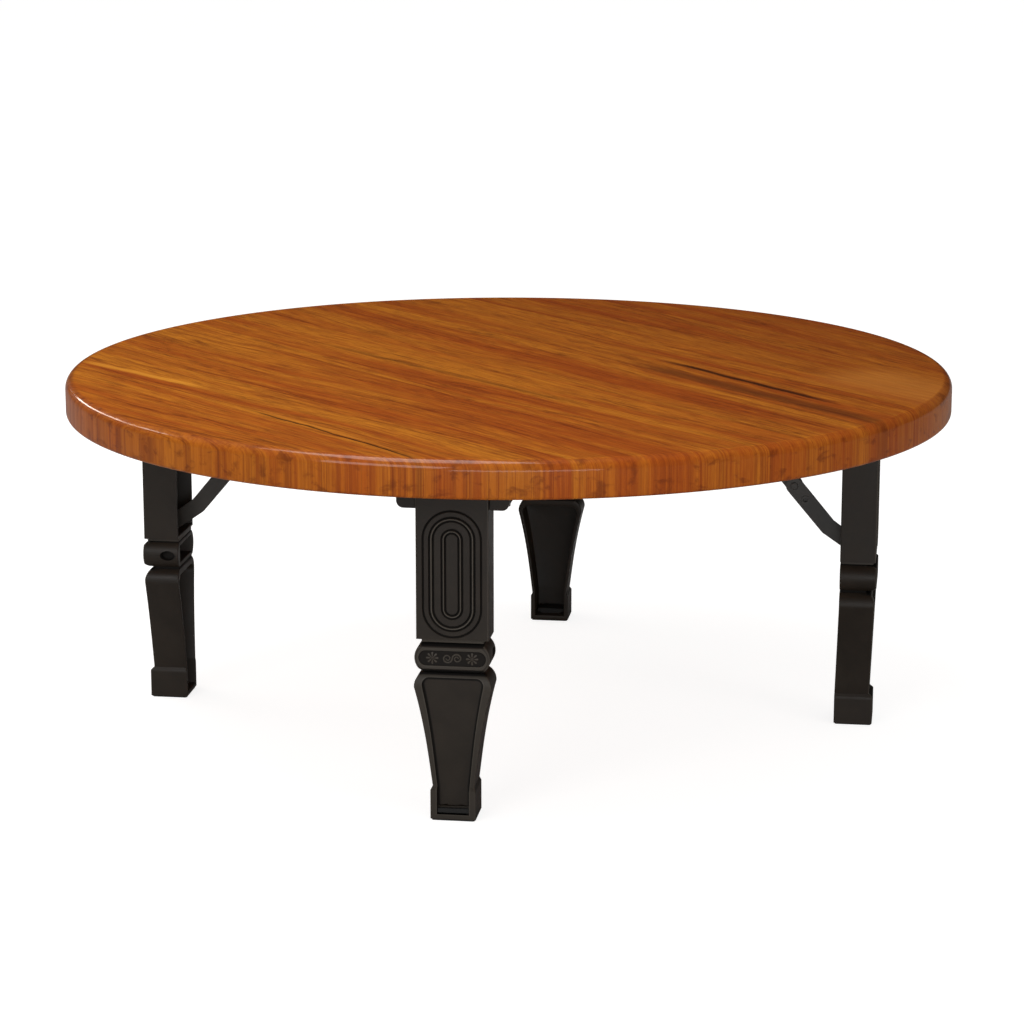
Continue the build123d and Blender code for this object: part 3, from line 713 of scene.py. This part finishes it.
# %% Sizes of the bead and the necks
BEAD_LOW, BEAD_HIGH = 128.6 * MM, 151.6 * MM
BEAD_MIDDLE = (BEAD_LOW + BEAD_HIGH) / 2
BEAD_HALF = 31.5 * MM
NECK_HALF = 25.8 * MM
NECK_X = box_outer_x - 4.8 * MM
BEAD_X = leg_high.x
BEAD_FACE_HALF = 8.9 * MM
BEAD_WALL = 3.6 * MM
FIELD_HALF, FIELD_ROUND, FIELD_DEPTH = 28.4 * MM, 6.8 * MM, 1.0 * MM
DIMPLE_X, DIMPLE_LONG, DIMPLE_TALL = 315 * MM, 6 * MM, 4.25 * MM
print("the bead is", round((BEAD_HIGH - BEAD_LOW) / MM, 1), "mm tall")


# %% Outlines and side views
def mirrored(half_points):
    """A closed loop from its right half, listed from the bottom middle to the top middle."""
    half_points = np.array(half_points)
    return np.concatenate([half_points, half_points[-2:0:-1] * [-1, 1]])


def inwards(loop):
    """Unit vectors that point into a loop that runs anticlockwise."""
    tangent = np.roll(loop, -1, 0) - np.roll(loop, 1, 0)
    normal = np.stack([-tangent[:, 1], tangent[:, 0]], -1)
    return normal / np.linalg.norm(normal, axis=1)[:, None]


def front_curve(points):
    """x of the front face as a function of z, from its (x, z) points."""
    points = np.array(sorted([(z, x) for x, z in points]))
    return lambda z: np.interp(z, points[:, 0], points[:, 1])


def bulge(narrow, wide):
    """A point of the curve that swells from a neck's edge to the widest place below it."""
    return narrow[0] + 0.72 * (wide[0] - narrow[0]), narrow[1] - 0.38 * (narrow[1] - wide[1])


print("a mirrored loop:", mirrored([(0, 0), (1, 0), (1, 1), (0, 1)]).tolist())


# %% The bead
def bead_front():
    """The bead's side view: flat in the middle, curving back to the neck above and below."""
    narrow, wide = (NECK_X, BEAD_HIGH), (BEAD_X, BEAD_MIDDLE + BEAD_FACE_HALF)
    upper = arc_through(narrow, bulge(narrow, wide), wide, 16)
    lower = upper * [1, -1] + [0, 2 * BEAD_MIDDLE]
    return front_curve([*upper, *lower, wide, (BEAD_X, BEAD_MIDDLE - BEAD_FACE_HALF)])


def bead_tray():
    """The bead as a stack of loops."""
    side_steps, end_steps = 32, 20
    centre = FIELD_HALF - FIELD_ROUND

    def loop(side, low, high, end_half):
        """A closed outline from its side, with a level end of this half width below and above."""
        return mirrored([*straight((0, low), (end_half, low), end_steps), *side,
                         *straight((end_half, high), (0, high), end_steps), (0, high)])

    def field(inset):
        radius = FIELD_ROUND - inset
        bow = arc(centre, BEAD_MIDDLE, radius, -90, 90, side_steps, endpoint=False)
        return loop(bow, BEAD_MIDDLE - radius, BEAD_MIDDLE + radius, centre)

    def hollow(grow):
        half = NECK_HALF - BEAD_WALL + grow
        low, high = BEAD_LOW + BEAD_WALL - grow, BEAD_HIGH - BEAD_WALL + grow
        return loop(straight((half, low), (half, high), side_steps), low, high, half)

    def outer(inset):
        return outline + pointing * inset

    def shade(flat, ridge):
        """Painted shade towards the grooves above and below the bead, and elsewhere the painted highlight
        that ridge gives.
        """
        away = np.abs(flat[:, 1] - BEAD_MIDDLE)
        dark = np.clip((away - 9.3 * MM) / (0.8 * MM), 0, 1) * (np.abs(flat[:, 0]) < NECK_HALF)
        return np.where(dark > 0, dark, ridge)

    side = arc_through((NECK_HALF, BEAD_LOW), (BEAD_HALF, BEAD_MIDDLE), (NECK_HALF, BEAD_HIGH), side_steps)
    outline = loop(side, BEAD_LOW, BEAD_HIGH, NECK_HALF)
    front, pointing, floor = bead_front(), inwards(outline), BEAD_X - FIELD_DEPTH
    loops, add, turn = new_tray()
    # Painted shade on the sunk field and its wall, and a painted highlight on the field's edge, along the
    # face and on the rounded edge.
    add(field(FIELD_ROUND), floor, 0.8)
    add(field(2 * MM), floor, 0.8)
    turn(lambda inset: field(0.4 * MM + inset), floor, 1, rounding(0.3 * MM, 3)[::-1], 0.9)
    turn(lambda inset: field(0.3 * MM - inset), BEAD_X, -1, rounding(0.3 * MM, 3)[::-1], -0.7)
    edge = outline + pointing * 1.4 * MM
    for share in np.linspace(0.08, 0.95, 12):
        flat = field(0) * (1 - share) + edge * share
        add(flat, front(flat[:, 1]), shade(flat, -0.45 if share < 0.7 else 0.0))
    turn(outer, front, -1, rounding(1.4 * MM, 5), (0, -0.5, -0.7, -0.4, 0), shade)
    for x in (box_outer_x - 9 * MM, DIMPLE_X):
        add(outline, x)
    turn(outer, box_inner_x, 1, held_rounding(BACK_ROUND, 3)[::-1])
    turn(hollow, box_inner_x, 1, rounding(BACK_ROUND, 3))
    turn(lambda inset: hollow(-inset), floor - WALL, -1, rounding(1.2 * MM, 4)[::-1])
    inmost = np.clip(hollow(-1.2 * MM)[:, 0], -12 * MM, 12 * MM)
    add(np.column_stack([inmost, np.full(len(inmost), BEAD_MIDDLE)]), floor - WALL)
    return np.array(loops)


print("bead loops:", bead_tray().shape)


# %% The necks
def neck(table):
    """A neck: a block with rounded upright edges, let into its neighbours above and below. The table
    lists (z, how far its front stands back, how far its sides stand back) in mm, from below upwards.
    Where the front stands back the neck gets painted shade, and where it stands forward a painted highlight."""
    radius, rows = 1.0 * MM, []
    for z, front_inset, side_inset in [table[0], *table, table[-1]]:
        x0, x1 = box_inner_x + 0.4 * MM + radius, NECK_X - front_inset * MM - radius
        half = NECK_HALF - side_inset * MM - radius
        corners = ((x1, half, 0), (x0, half, 90), (x0, -half, 180), (x1, -half, 270))
        ring = np.concatenate([arc(x, y, radius, start, start + 90, 5) for x, y, start in corners])
        # Painted light: front_inset / 3 gives painted shade, a negative inset a painted highlight of at most
        # 0.5.
        height_and_painted_light = [z * MM, max(front_inset / 3, -0.5)]
        rows.append(np.column_stack([ring, np.broadcast_to(height_and_painted_light, ring.shape)]))
    for end in (0, -1):
        rows[end] = np.broadcast_to(rows[end].mean(0), rows[end].shape)
    return np.array(rows)


upper_neck = neck([(149.5, 3, 0.9), (152.6, 3, 0.9), (152.7, -2.2, 0.3), (153.0, -2.6, 0), (157, -3, 0)])
lower_neck = neck([(122, 3.2, 0.6), (130.5, 3.2, 0.6)])
print("neck loops:", upper_neck.shape, lower_neck.shape)

# %% [markdown]
# ### Small reliefs on the bead
# The long field carries three small reliefs: a rosette at either end and a double scroll between them.
# The rosette is a polar formula, and the scroll is a thin half-round ridge led along two spirals.

# %% Rosette and scroll
ROSETTE_Y = 16.5 * MM


def rosette(y, radius=5.3 * MM, height=0.65 * MM):
    """Eight petals round a button: the outline is R(a) = radius (0.36 + 0.64 |cos 4a|^0.6), the petals
    are domed by 1 - s^3 over the share s of R, and the button is half a sphere on top. Painted shade
    darkens the rim and the gaps between the petals, and the petals get a painted highlight."""
    a = np.linspace(0, 2 * math.pi, 128, endpoint=False)
    petal = np.abs(np.cos(4 * a))
    outline = radius * (0.36 + 0.64 * petal**0.6)
    rows = []
    for s in (1.0, 1.0, 0.96, 0.88, 0.76, 0.62, 0.48, 0.36, 0.30, 0.26, 0.2, 0.12, 0.0):
        if s > 0.3:
            reach, rise = outline * s, height * (1 - s**3) * (0.35 + 0.65 * petal)
        else:
            reach, rise = radius * s, height * (0.5 + 0.7 * math.sqrt(1 - (s / 0.3) ** 2))
        if not rows:
            rise = -0.3 * MM
        # Painted shade round the rim and between the petals, painted highlight on the petals.
        rows.append(np.stack([np.broadcast_to(BEAD_X - FIELD_DEPTH + rise, len(a)), y + reach * np.cos(a),
                              BEAD_MIDDLE + reach * np.sin(a), 0.9 - 1.6 * petal * (s < 0.97)], -1))
    return np.array(rows)


def scroll():
    """An S of two spirals r = 4.0 - 3.1 t about (4, 0) and (-4, 0), in mm, as a half-round ridge that
    thins from 0.8 in the middle to 0.45 at the ends. The ridge carries a painted highlight of -0.6."""
    t = np.linspace(0, 1, 60)
    reach, angle = 4.0 - 3.1 * t, math.pi - 3.1 * math.pi * t
    right = np.stack([4.0 + reach * np.cos(angle), reach * np.sin(angle)], -1)
    path = np.concatenate([-right[:0:-1], right]) * MM
    along = np.gradient(path, axis=0)
    along /= np.linalg.norm(along, axis=1)[:, None]
    turn = np.linspace(0, 2 * math.pi, 10, endpoint=False)
    thick = (0.45 + 0.35 * np.concatenate([1 - t[:0:-1], 1 - t])) * MM
    thick[0] = thick[-1] = 0
    across = np.cos(turn)[None] * thick[:, None]
    up = np.sin(turn)[None] * thick[:, None]
    y = path[:, 0, None] - along[:, 1, None] * across
    z = path[:, 1, None] + along[:, 0, None] * across
    # Painted highlight on the whole scroll.
    return marked(np.stack([BEAD_X - FIELD_DEPTH + up, y, BEAD_MIDDLE + z], -1), -0.6)


reliefs = [rosette(-ROSETTE_Y), scroll(), rosette(ROSETTE_Y)]
print("reliefs:", [relief_and_painted_light.shape for relief_and_painted_light in reliefs])

# %% [markdown]
# ### The taper and the foot
# Below the lower neck a shoulder swells out and the leg tapers to a narrow waist just above the foot.
# A thin rim frames the sunk panel. At the foot the panel opens into a window that shows the rubber pad.

# %% Sizes of the taper and the foot
TAPER_TOP_Z = 126.2 * MM
SHOULDER_Z, WAIST_Z, FOOT_Z, SOLE_Z = 114.2 * MM, 29 * MM, 26 * MM, leg_low.z
SHOULDER_HALF, WAIST_HALF, FOOT_HALF = leg_high.y, 17.4 * MM, 19 * MM
SHOULDER_X, WAIST_X, FOOT_X = box_outer_x - 0.2 * MM, box_outer_x - 3.2 * MM, box_outer_x
SILL_Z, WINDOW_TOP_Z = 5.4 * MM, 11.5 * MM
PANEL_HALF, PANEL_TOP_Z, PANEL_FOOT_HALF = SHOULDER_HALF - 6.6 * MM, 122.8 * MM, 13.5 * MM
PANEL_DEPTH, PANEL_ROUND = 3 * MM, 0.5 * MM
HOLLOW_HALF, HOLLOW_TOP_Z, HOLLOW_FOOT_HALF = SHOULDER_HALF - 4.2 * MM, 120.2 * MM, 14.8 * MM
PINCH = 1.6 * MM
SHADE_Z = 124.6 * MM
SIDE_STEPS, SHOULDER_STEPS, TOP_STEPS = (10, 12, 4, 36), 14, 10
print("the taper is", round((TAPER_TOP_Z - SOLE_Z) / MM, 1), "mm tall")


# %% Outline of the taper
def taper_loop(half, foot_half, low, top, shoulder):
    """A closed outline of the taper: sole, foot, waist, straight side, rounded shoulder and top. shoulder
    is the list of its points from the side's top end up to the top edge."""
    waist_half = foot_half if half < SHOULDER_HALF else WAIST_HALF
    corners = [(0, low), (foot_half, low), (foot_half, FOOT_Z), (waist_half, WAIST_Z), shoulder[0]]
    side = chain(corners, SIDE_STEPS)
    return mirrored([*side, *shoulder[:-1], *straight(shoulder[-1], (0, top), TOP_STEPS), (0, top)])


def sunk_loop(half, foot_half, top, radius):
    """The outline of the panel or the hollow: from the sill up, its upper corners rounded."""
    corner = arc(half - radius, top - radius, radius, 0, 90, SHOULDER_STEPS + 1)
    return taper_loop(half, foot_half, SILL_Z, top, corner)


print("points in the panel's outline:", len(sunk_loop(PANEL_HALF, PANEL_FOOT_HALF, PANEL_TOP_Z, 6 * MM)))


# %% Side view of the taper
def taper_front():
    """The taper's side view: foot, waist, straight face, shoulder curving back to the neck."""
    narrow, wide = (NECK_X, TAPER_TOP_Z), (SHOULDER_X, SHOULDER_Z)
    curve = arc_through(narrow, bulge(narrow, wide), wide, 20)
    return front_curve([*curve, wide, (WAIST_X, WAIST_Z), (FOOT_X, FOOT_Z), (FOOT_X, SOLE_Z)])


def panel_plane(z):
    """x of the taper's straight face, run on down past the waist as a level plane."""
    share = (np.maximum(z, WAIST_Z) - WAIST_Z) / (SHOULDER_Z - WAIST_Z)
    return WAIST_X + share * (SHOULDER_X - WAIST_X)


def taper_back(z):
    """x of the inner face: it leans out from the shoulder to the foot."""
    return np.interp(z, [FOOT_Z, SHOULDER_Z], [leg_low.x, box_inner_x])


def pinched(z):
    """The taper's sides are a little hollow: widths shrink by 1 - d(z) / w(z), with d = PINCH times
    4.83 u^1.3 (1 - u) over the share u of the way from waist to shoulder, and w the half width there."""
    u = np.clip((z - WAIST_Z) / (SHOULDER_Z - WAIST_Z), 0, 1)
    width = WAIST_HALF + u * (SHOULDER_HALF - WAIST_HALF)
    return 1 - PINCH * 4.83 * u**1.3 * (1 - u) / width


print("narrowest share of the width:", round(pinched(np.linspace(SOLE_Z, SHOULDER_Z, 99)).min(), 3))


# %% The taper as a tray
def taper_tray():
    """The taper and the foot as a stack of loops."""
    narrow, wide = (NECK_HALF, TAPER_TOP_Z), (SHOULDER_HALF, SHOULDER_Z)
    shoulder = arc_through(wide, bulge(narrow, wide), narrow, SHOULDER_STEPS)
    outline = taper_loop(SHOULDER_HALF, FOOT_HALF, SOLE_Z, TAPER_TOP_Z, [*shoulder, narrow])
    panel = sunk_loop(PANEL_HALF, PANEL_FOOT_HALF, PANEL_TOP_Z, 6 * MM)
    hollow = sunk_loop(HOLLOW_HALF, HOLLOW_FOOT_HALF, HOLLOW_TOP_Z, 8 * MM)
    front = taper_front()
    outline_in, panel_in, hollow_in = inwards(outline), inwards(panel), inwards(hollow)
    loops, add, turn = new_tray()

    def outer(inset):
        return outline + outline_in * inset

    def panel_at(inset):
        return panel + panel_in * inset

    def panel_floor(z):
        return panel_plane(z) - PANEL_DEPTH

    def hollow_floor(z):
        return panel_plane(z) - (PANEL_DEPTH + WALL)

    def middle(loop, low, high):
        return np.stack([np.zeros(len(loop)), np.clip(loop[:, 1], low, high)], -1)

    def shade(flat, ridge):
        """Painted shade towards the lower neck, and elsewhere the painted highlight that ridge gives."""
        dark = np.clip((flat[:, 1] - SHADE_Z) / (0.5 * MM), 0, 1)
        return np.where(flat[:, 1] > SHADE_Z, dark, ridge)

    core = middle(panel, 16 * MM, 100 * MM)
    for share in (0.0, 0.35, 0.7):
        flat = core * (1 - share) + panel * share
        add(flat, panel_floor(flat[:, 1]))
    # Painted shade along the panel's inner border and its edge, and a painted highlight on the rim and the
    # outer rounded edge.
    turn(panel_at, panel_floor, 1, [(2.4 * MM, 0), (1.5 * MM, 0)], (0.0, 0.9))
    edge = rounding(PANEL_ROUND, 4)[::-1]
    turn(panel_at, panel_floor, 1, edge, 1.0)
    turn(lambda inset: panel_at(inset - PANEL_ROUND), front, -1, edge, (0.2, -0.5, -0.8, -0.8))
    for share in (0.15, 0.3, 0.45, 0.6, 0.75, 0.9):
        flat = panel_at(-PANEL_ROUND) * (1 - share) + outer(EDGE_ROUND) * share
        add(flat, front(flat[:, 1]), shade(flat, -0.3))
    turn(outer, front, -1, held_rounding(EDGE_ROUND, 4)[1:], (-0.3, -0.6, -0.6, 0, 0), shade)
    near, far = front(outline[:, 1]) - EDGE_ROUND, taper_back(outline[:, 1]) + BACK_ROUND
    for share in (0.33, 0.67):
        add(outline, near * (1 - share) + far * share)
    turn(outer, taper_back, 1, held_rounding(BACK_ROUND, 3)[-1:0:-1])
    turn(lambda inset: hollow - hollow_in * inset, taper_back, 1, rounding(BACK_ROUND, 3))
    turn(lambda inset: hollow + hollow_in * inset, hollow_floor, -1, rounding(1.2 * MM, 4)[::-1])
    flat = middle(hollow, 17 * MM, 98 * MM)
    add(flat, hollow_floor(flat[:, 1]))
    loops = np.array(loops)
    loops[..., 1] *= pinched(loops[..., 2])
    return loops


print("taper loops:", taper_tray().shape)

# %% [markdown]
# ### Small forms inside the leg
# Two bosses carry the axle, and a lug in the hollow carries the folding stay. They are plain plates and
# discs with rounded edges.

# %% Bosses and lug
BOSS_Y = (23 * MM, 28 * MM)
LUG_Y = (-8.5 * MM, -4.5 * MM)


def plate(outline, y0, y1, radius=0.4 * MM):
    """A flat plate from an outline in (x, z), between y0 and y1, its edges rounded."""
    pointing, middle = inwards(outline), np.broadcast_to(outline.mean(0), outline.shape)
    rows = [(middle, y0)]
    rows += [(outline + pointing * inset, y0 + depth) for inset, depth in rounding(radius, 4)]
    rows += [(outline + pointing * inset, y1 - depth) for inset, depth in rounding(radius, 4)[::-1]]
    rows += [(middle, y1)]
    loops = [np.stack([flat[:, 0], np.full(len(flat), y), flat[:, 1]], -1) for flat, y in rows]
    return marked(np.array(loops))


def lug_outline():
    """The stay's lug: a bar with a round end, growing out of the box's front wall."""
    low, high = LUG_Z - LUG_ROUND, LUG_Z + LUG_ROUND
    bar = chain([(LUG_X, low), (LUG_ROOT_X, low), (LUG_ROOT_X, high), (LUG_X, high)], [6, 4, 6])
    return np.concatenate([arc(LUG_X, LUG_Z, LUG_ROUND, 90, 270, 25), bar])


boss = arc(PIVOT_X, PIVOT_Z, BOSS_ROUND, 0, 360, 48, endpoint=False)
plates = [plate(boss, *BOSS_Y), plate(boss, -BOSS_Y[1], -BOSS_Y[0]), plate(lug_outline(), *LUG_Y)]
shells = [box_tray(), upper_neck, lower_neck, *reliefs, *plates]
leg_points, leg_quads = joined(shells)
print("leg points:", len(leg_points), "faces:", len(leg_quads))

# %% [markdown]
# ### The window in the foot and the hole in the bead
# The window goes right through the foot's outer wall, and the bead has a deep oval hole with a flared
# rim in one side. Both are cut with a Boolean that is applied at once.

# %% Two cuts
def applied_cut(uncut, cutter):
    """points and faces of one mesh after another is cut away from it."""
    made = []
    for title, (verts, faces) in (("uncut", uncut), ("cutter", cutter)):
        mesh = new_mesh(title, verts, faces)
        clean(mesh, dissolve=False)
        thing = bpy.data.objects.new(title, mesh)
        bpy.context.scene.collection.objects.link(thing)
        made.append(thing)
    cut = made[0].modifiers.new("window", "BOOLEAN")
    cut.operation, cut.solver, cut.object = "DIFFERENCE", "EXACT", made[1]
    bpy.context.view_layer.update()
    done = made[0].evaluated_get(bpy.context.evaluated_depsgraph_get()).data
    verts, relief_and_painted_light = np.zeros(len(done.vertices) * 3, np.float32), np.zeros(len(done.vertices), np.float32)
    done.vertices.foreach_get("co", verts)
    done.attributes["relief_and_painted_light"].data.foreach_get("value", relief_and_painted_light)
    faces = [list(p.vertices) for p in done.polygons]
    for thing in made:
        bpy.data.objects.remove(thing)
    return marked(verts.reshape(-1, 3), relief_and_painted_light), faces


def box_mesh(low, high):
    """A plain box's corners, which count up along x first, and its faces."""
    corner = np.array([[(low, high)[(n >> axis) & 1][axis] for axis in range(3)] for n in range(8)])
    x_sides, y_sides = [[0, 2, 3, 1], [4, 5, 7, 6]], [[0, 1, 5, 4], [2, 6, 7, 3]]
    return corner, np.array([*x_sides, *y_sides, [0, 4, 6, 2], [1, 3, 7, 5]])


def oval_cutter():
    """The hole's shape: an oval in (x, z) that narrows inwards, listed as (share of its size, y in mm)."""
    a = np.linspace(0, 2 * math.pi, 64, endpoint=False)
    table = ((0, 25.5), (0.9, 25.5), (0.96, 25.8), (1, 29.9), (1.04, 30.5), (1.1, 31), (1.2, 31.5),
             (1.25, 34), (0, 34))
    rows = [np.stack([DIMPLE_X + DIMPLE_LONG * share * np.cos(a), np.full(len(a), y * MM),
                      BEAD_MIDDLE + DIMPLE_TALL * share * np.sin(a)], -1) for share, y in table]
    # Painted shade of 1 on the hole's walls, which the cut takes from the cutter.
    return joined([marked(np.array(rows), 1.0)])


half = PANEL_FOOT_HALF - 0.1 * MM
corners, sides = box_mesh((321 * MM, -half, SILL_Z + 0.1 * MM), (332 * MM, half, WINDOW_TOP_Z))
# Painted shade of 0.4 on the window's walls, which the cut takes from the cutter.
window = (marked(corners, 0.4), sides)
cut_parts = [applied_cut(joined([taper_tray()]), window), applied_cut(joined([bead_tray()]), oval_cutter())]
print("after the cuts:", [len(points) for points, _ in cut_parts], "points")


# %% Place the four legs
def turned_about_z(points, quarter):
    """points turned by quarter times 90 degrees about the table's axis."""
    c, s = [(1, 0), (0, 1), (-1, 0), (0, -1)][quarter]
    return points @ np.array([[c, s, 0, 0], [-s, c, 0, 0], [0, 0, 1, 0], [0, 0, 0, 1]], float)


all_points, all_faces = leg_points, leg_quads.tolist()
for points, faces in cut_parts:
    all_faces += [[corner + len(all_points) for corner in face] for face in faces]
    all_points = np.concatenate([all_points, points])
for quarter, side in enumerate(SIDES):
    made = piece(f"moulded_leg_{side}", turned_about_z(all_points, quarter), all_faces, f"leg_{side}",
                 [f"leg_{side}"], "leg_plastic", plastic, smooth_below=32)
print("leg faces:", len(made.data.polygons))

# %% [markdown]
# ## Paint, zinc and rubber
# The stays are stamped steel, painted satin black. Screws, axles, nuts and rivets are plated. The pads
# are a soft black rubber.

# %% Finishes of the small parts
def small_finish(name, dark, light, rough, metallic, grain_size, bump_depth, edge_lightening_amount):
    """A finish for a small part: two tones in clouds, fine grain and a lighter tone on sharply convex edges.
    """
    material, n, shader, body, cloud = moulded(name, dark, light, grain_size, 0.3, bump_depth)
    # Lighter along sharply convex edges, from the mesh's Pointiness.
    lighter_edges = n.put("ShaderNodeGroup", node_tree=edge_lightening, in_Amount=edge_lightening_amount).outputs["Mask"]
    n.fill(shader["Base Color"], n.mix(lighter_edges, body, light))
    n.fill(shader["Roughness"], n.spread(cloud, 0.3, 0.7, rough, rough + 0.1))
    shader["Metallic"].default_value = metallic
    return material


paint = small_finish("stay_paint", srgb(34, 31, 28), srgb(52, 48, 43), 0.36, 0.0, 900.0, 0.00006, 0.5)
zinc = small_finish("zinc_steel", srgb(150, 148, 142), srgb(188, 186, 180), 0.32, 1.0, 1400.0, 0.00003, 0.3)
rubber = small_finish("foot_rubber", srgb(20, 20, 20), srgb(32, 31, 30), 0.75, 0.0, 1500.0, 0.0001, 0.2)
FINISHES = {"hinge_base": ("leg_plastic", plastic), "stay_": ("stay_paint", paint),
            "base_screws": ("zinc_steel", zinc), "leg_axle": ("zinc_steel", zinc),
            "axle_push_nut": ("zinc_steel", zinc), "knee_rivet": ("stay_paint", paint),
            "foot_pad": ("foot_rubber", rubber)}
for name, node in nodes.items():
    if node.hide_render:
        continue
    for start, (slot, material) in FINISHES.items():
        if name.startswith(start):
            node.data.materials.clear()
            node.data.materials.append(material)
print("finished CAD nodes:", sum(not n.hide_render for n in nodes.values()))

# %% [markdown]
# ## Studio
# A pale floor, a white surround, four soft lights and a long narrow one that draws a bright line on the
# rounded edge. The lacquer mirrors what stands behind it at a low angle, so the surround is kept dim for
# mirror rays; otherwise the wood would look milky.

# %% Floor
FLOOR_HALF = 14
slab = box_mesh((-FLOOR_HALF, -FLOOR_HALF, -0.05), (FLOOR_HALF, FLOOR_HALF, -0.0001))
floor = bpy.data.objects.new("studio_floor", new_mesh("floor", *slab))
bpy.context.scene.collection.objects.link(floor)
floor_paint, n, shader = new_material("studio_paper")
n.fill(shader["Base Color"], n.mix(n.noise(n.spot(), 3.0, 3.0), srgb(163, 162, 161), srgb(167, 166, 165)))
shader["Roughness"].default_value = 0.9
shader["Specular IOR Level"].default_value = 0.1
shader["Emission Color"].default_value = (1, 1, 1, 1)
n.fill(shader["Emission Strength"], n.times(n.put("ShaderNodeLightPath").outputs["Is Camera Ray"], 0.84))
floor.data.materials.append(floor_paint)
print("floor at z =", round(max(v.co.z for v in floor.data.vertices), 4))

# %% World and lights
AMBIENT = 0.46
MIRRORED = 0.008
world = bpy.data.worlds.new("studio")
bpy.context.scene.world = world
world.use_nodes = True
n = Nodes(world.node_tree)
surround = n.tree.nodes["Background"].inputs
surround["Color"].default_value = (1.0, 0.99, 0.98, 1)
path = n.put("ShaderNodeLightPath").outputs
seen = n.line(path["Is Camera Ray"], 1.0 - AMBIENT, AMBIENT)
n.fill(surround["Strength"], n.line(path["Is Glossy Ray"], MIRRORED - AMBIENT, seen))


def soft_light(name, place, aim, width, height, power, colour=(1, 1, 1), along=None):
    """A rectangular softbox at place, aimed at a point, its width lying along a direction or level."""
    data = bpy.data.lights.new(name, "AREA")
    data.shape, data.size, data.size_y, data.energy, data.color = "RECTANGLE", width, height, power, colour
    light = bpy.data.objects.new(name, data)
    light.location = place
    back = (Vector(place) - Vector(aim)).normalized()
    side = Vector(along) if along else Vector((0, 0, 1)).cross(back)
    side = (side - back * side.dot(back)).normalized()
    light.rotation_euler = Matrix((side, back.cross(side), back)).transposed().to_euler()
    bpy.context.scene.collection.objects.link(light)
    return light


table_middle = (0, 0, 0.25)
soft_light("top_light", (-0.5, -0.2, 2.4), table_middle, 1.6, 1.2, 30)
soft_light("front_light", (-1.1, -2.7, 1.5), table_middle, 1.6, 1.0, 24)
soft_light("low_light", (0.6, -2.9, 0.30), (0, 0, 0.12), 1.8, 0.4, 14)
fill = soft_light("right_light", (2.2, -1.4, 0.8), table_middle, 1.0, 0.8, 11, (1.0, 0.93, 0.86))
fill.visible_glossy = False
soft_light("edge_light", (-1.70, 0.77, 1.11), (-0.35, 0.05, 0.21), 1.50, 0.13, 6.5, (1.0, 0.90, 0.80),
           along=(-0.16, -0.88, 0.46))
print("lights:", len(bpy.data.lights))

# %% [markdown]
# ## Camera
# A long lens from about thirteen degrees above the horizon, a little to the right of the front leg.

# %% Camera
camera_data = bpy.data.cameras.new("camera")
camera_data.sensor_width = 36
camera_data.lens = 110.6
camera_data.shift_x = 0.00324
camera = bpy.data.objects.new("camera", camera_data)
camera.location = (0.3867, -2.7890, 0.8473)
camera.rotation_euler = (Vector((0, 0, 0.18494)) - camera.location).to_track_quat("-Z", "Y").to_euler()
bpy.context.scene.collection.objects.link(camera)
bpy.context.scene.camera = camera
bpy.context.scene.view_settings.view_transform = "Standard"
print("camera at", [round(c, 3) for c in camera.location])

# %% Update the view layer
bpy.context.view_layer.update()
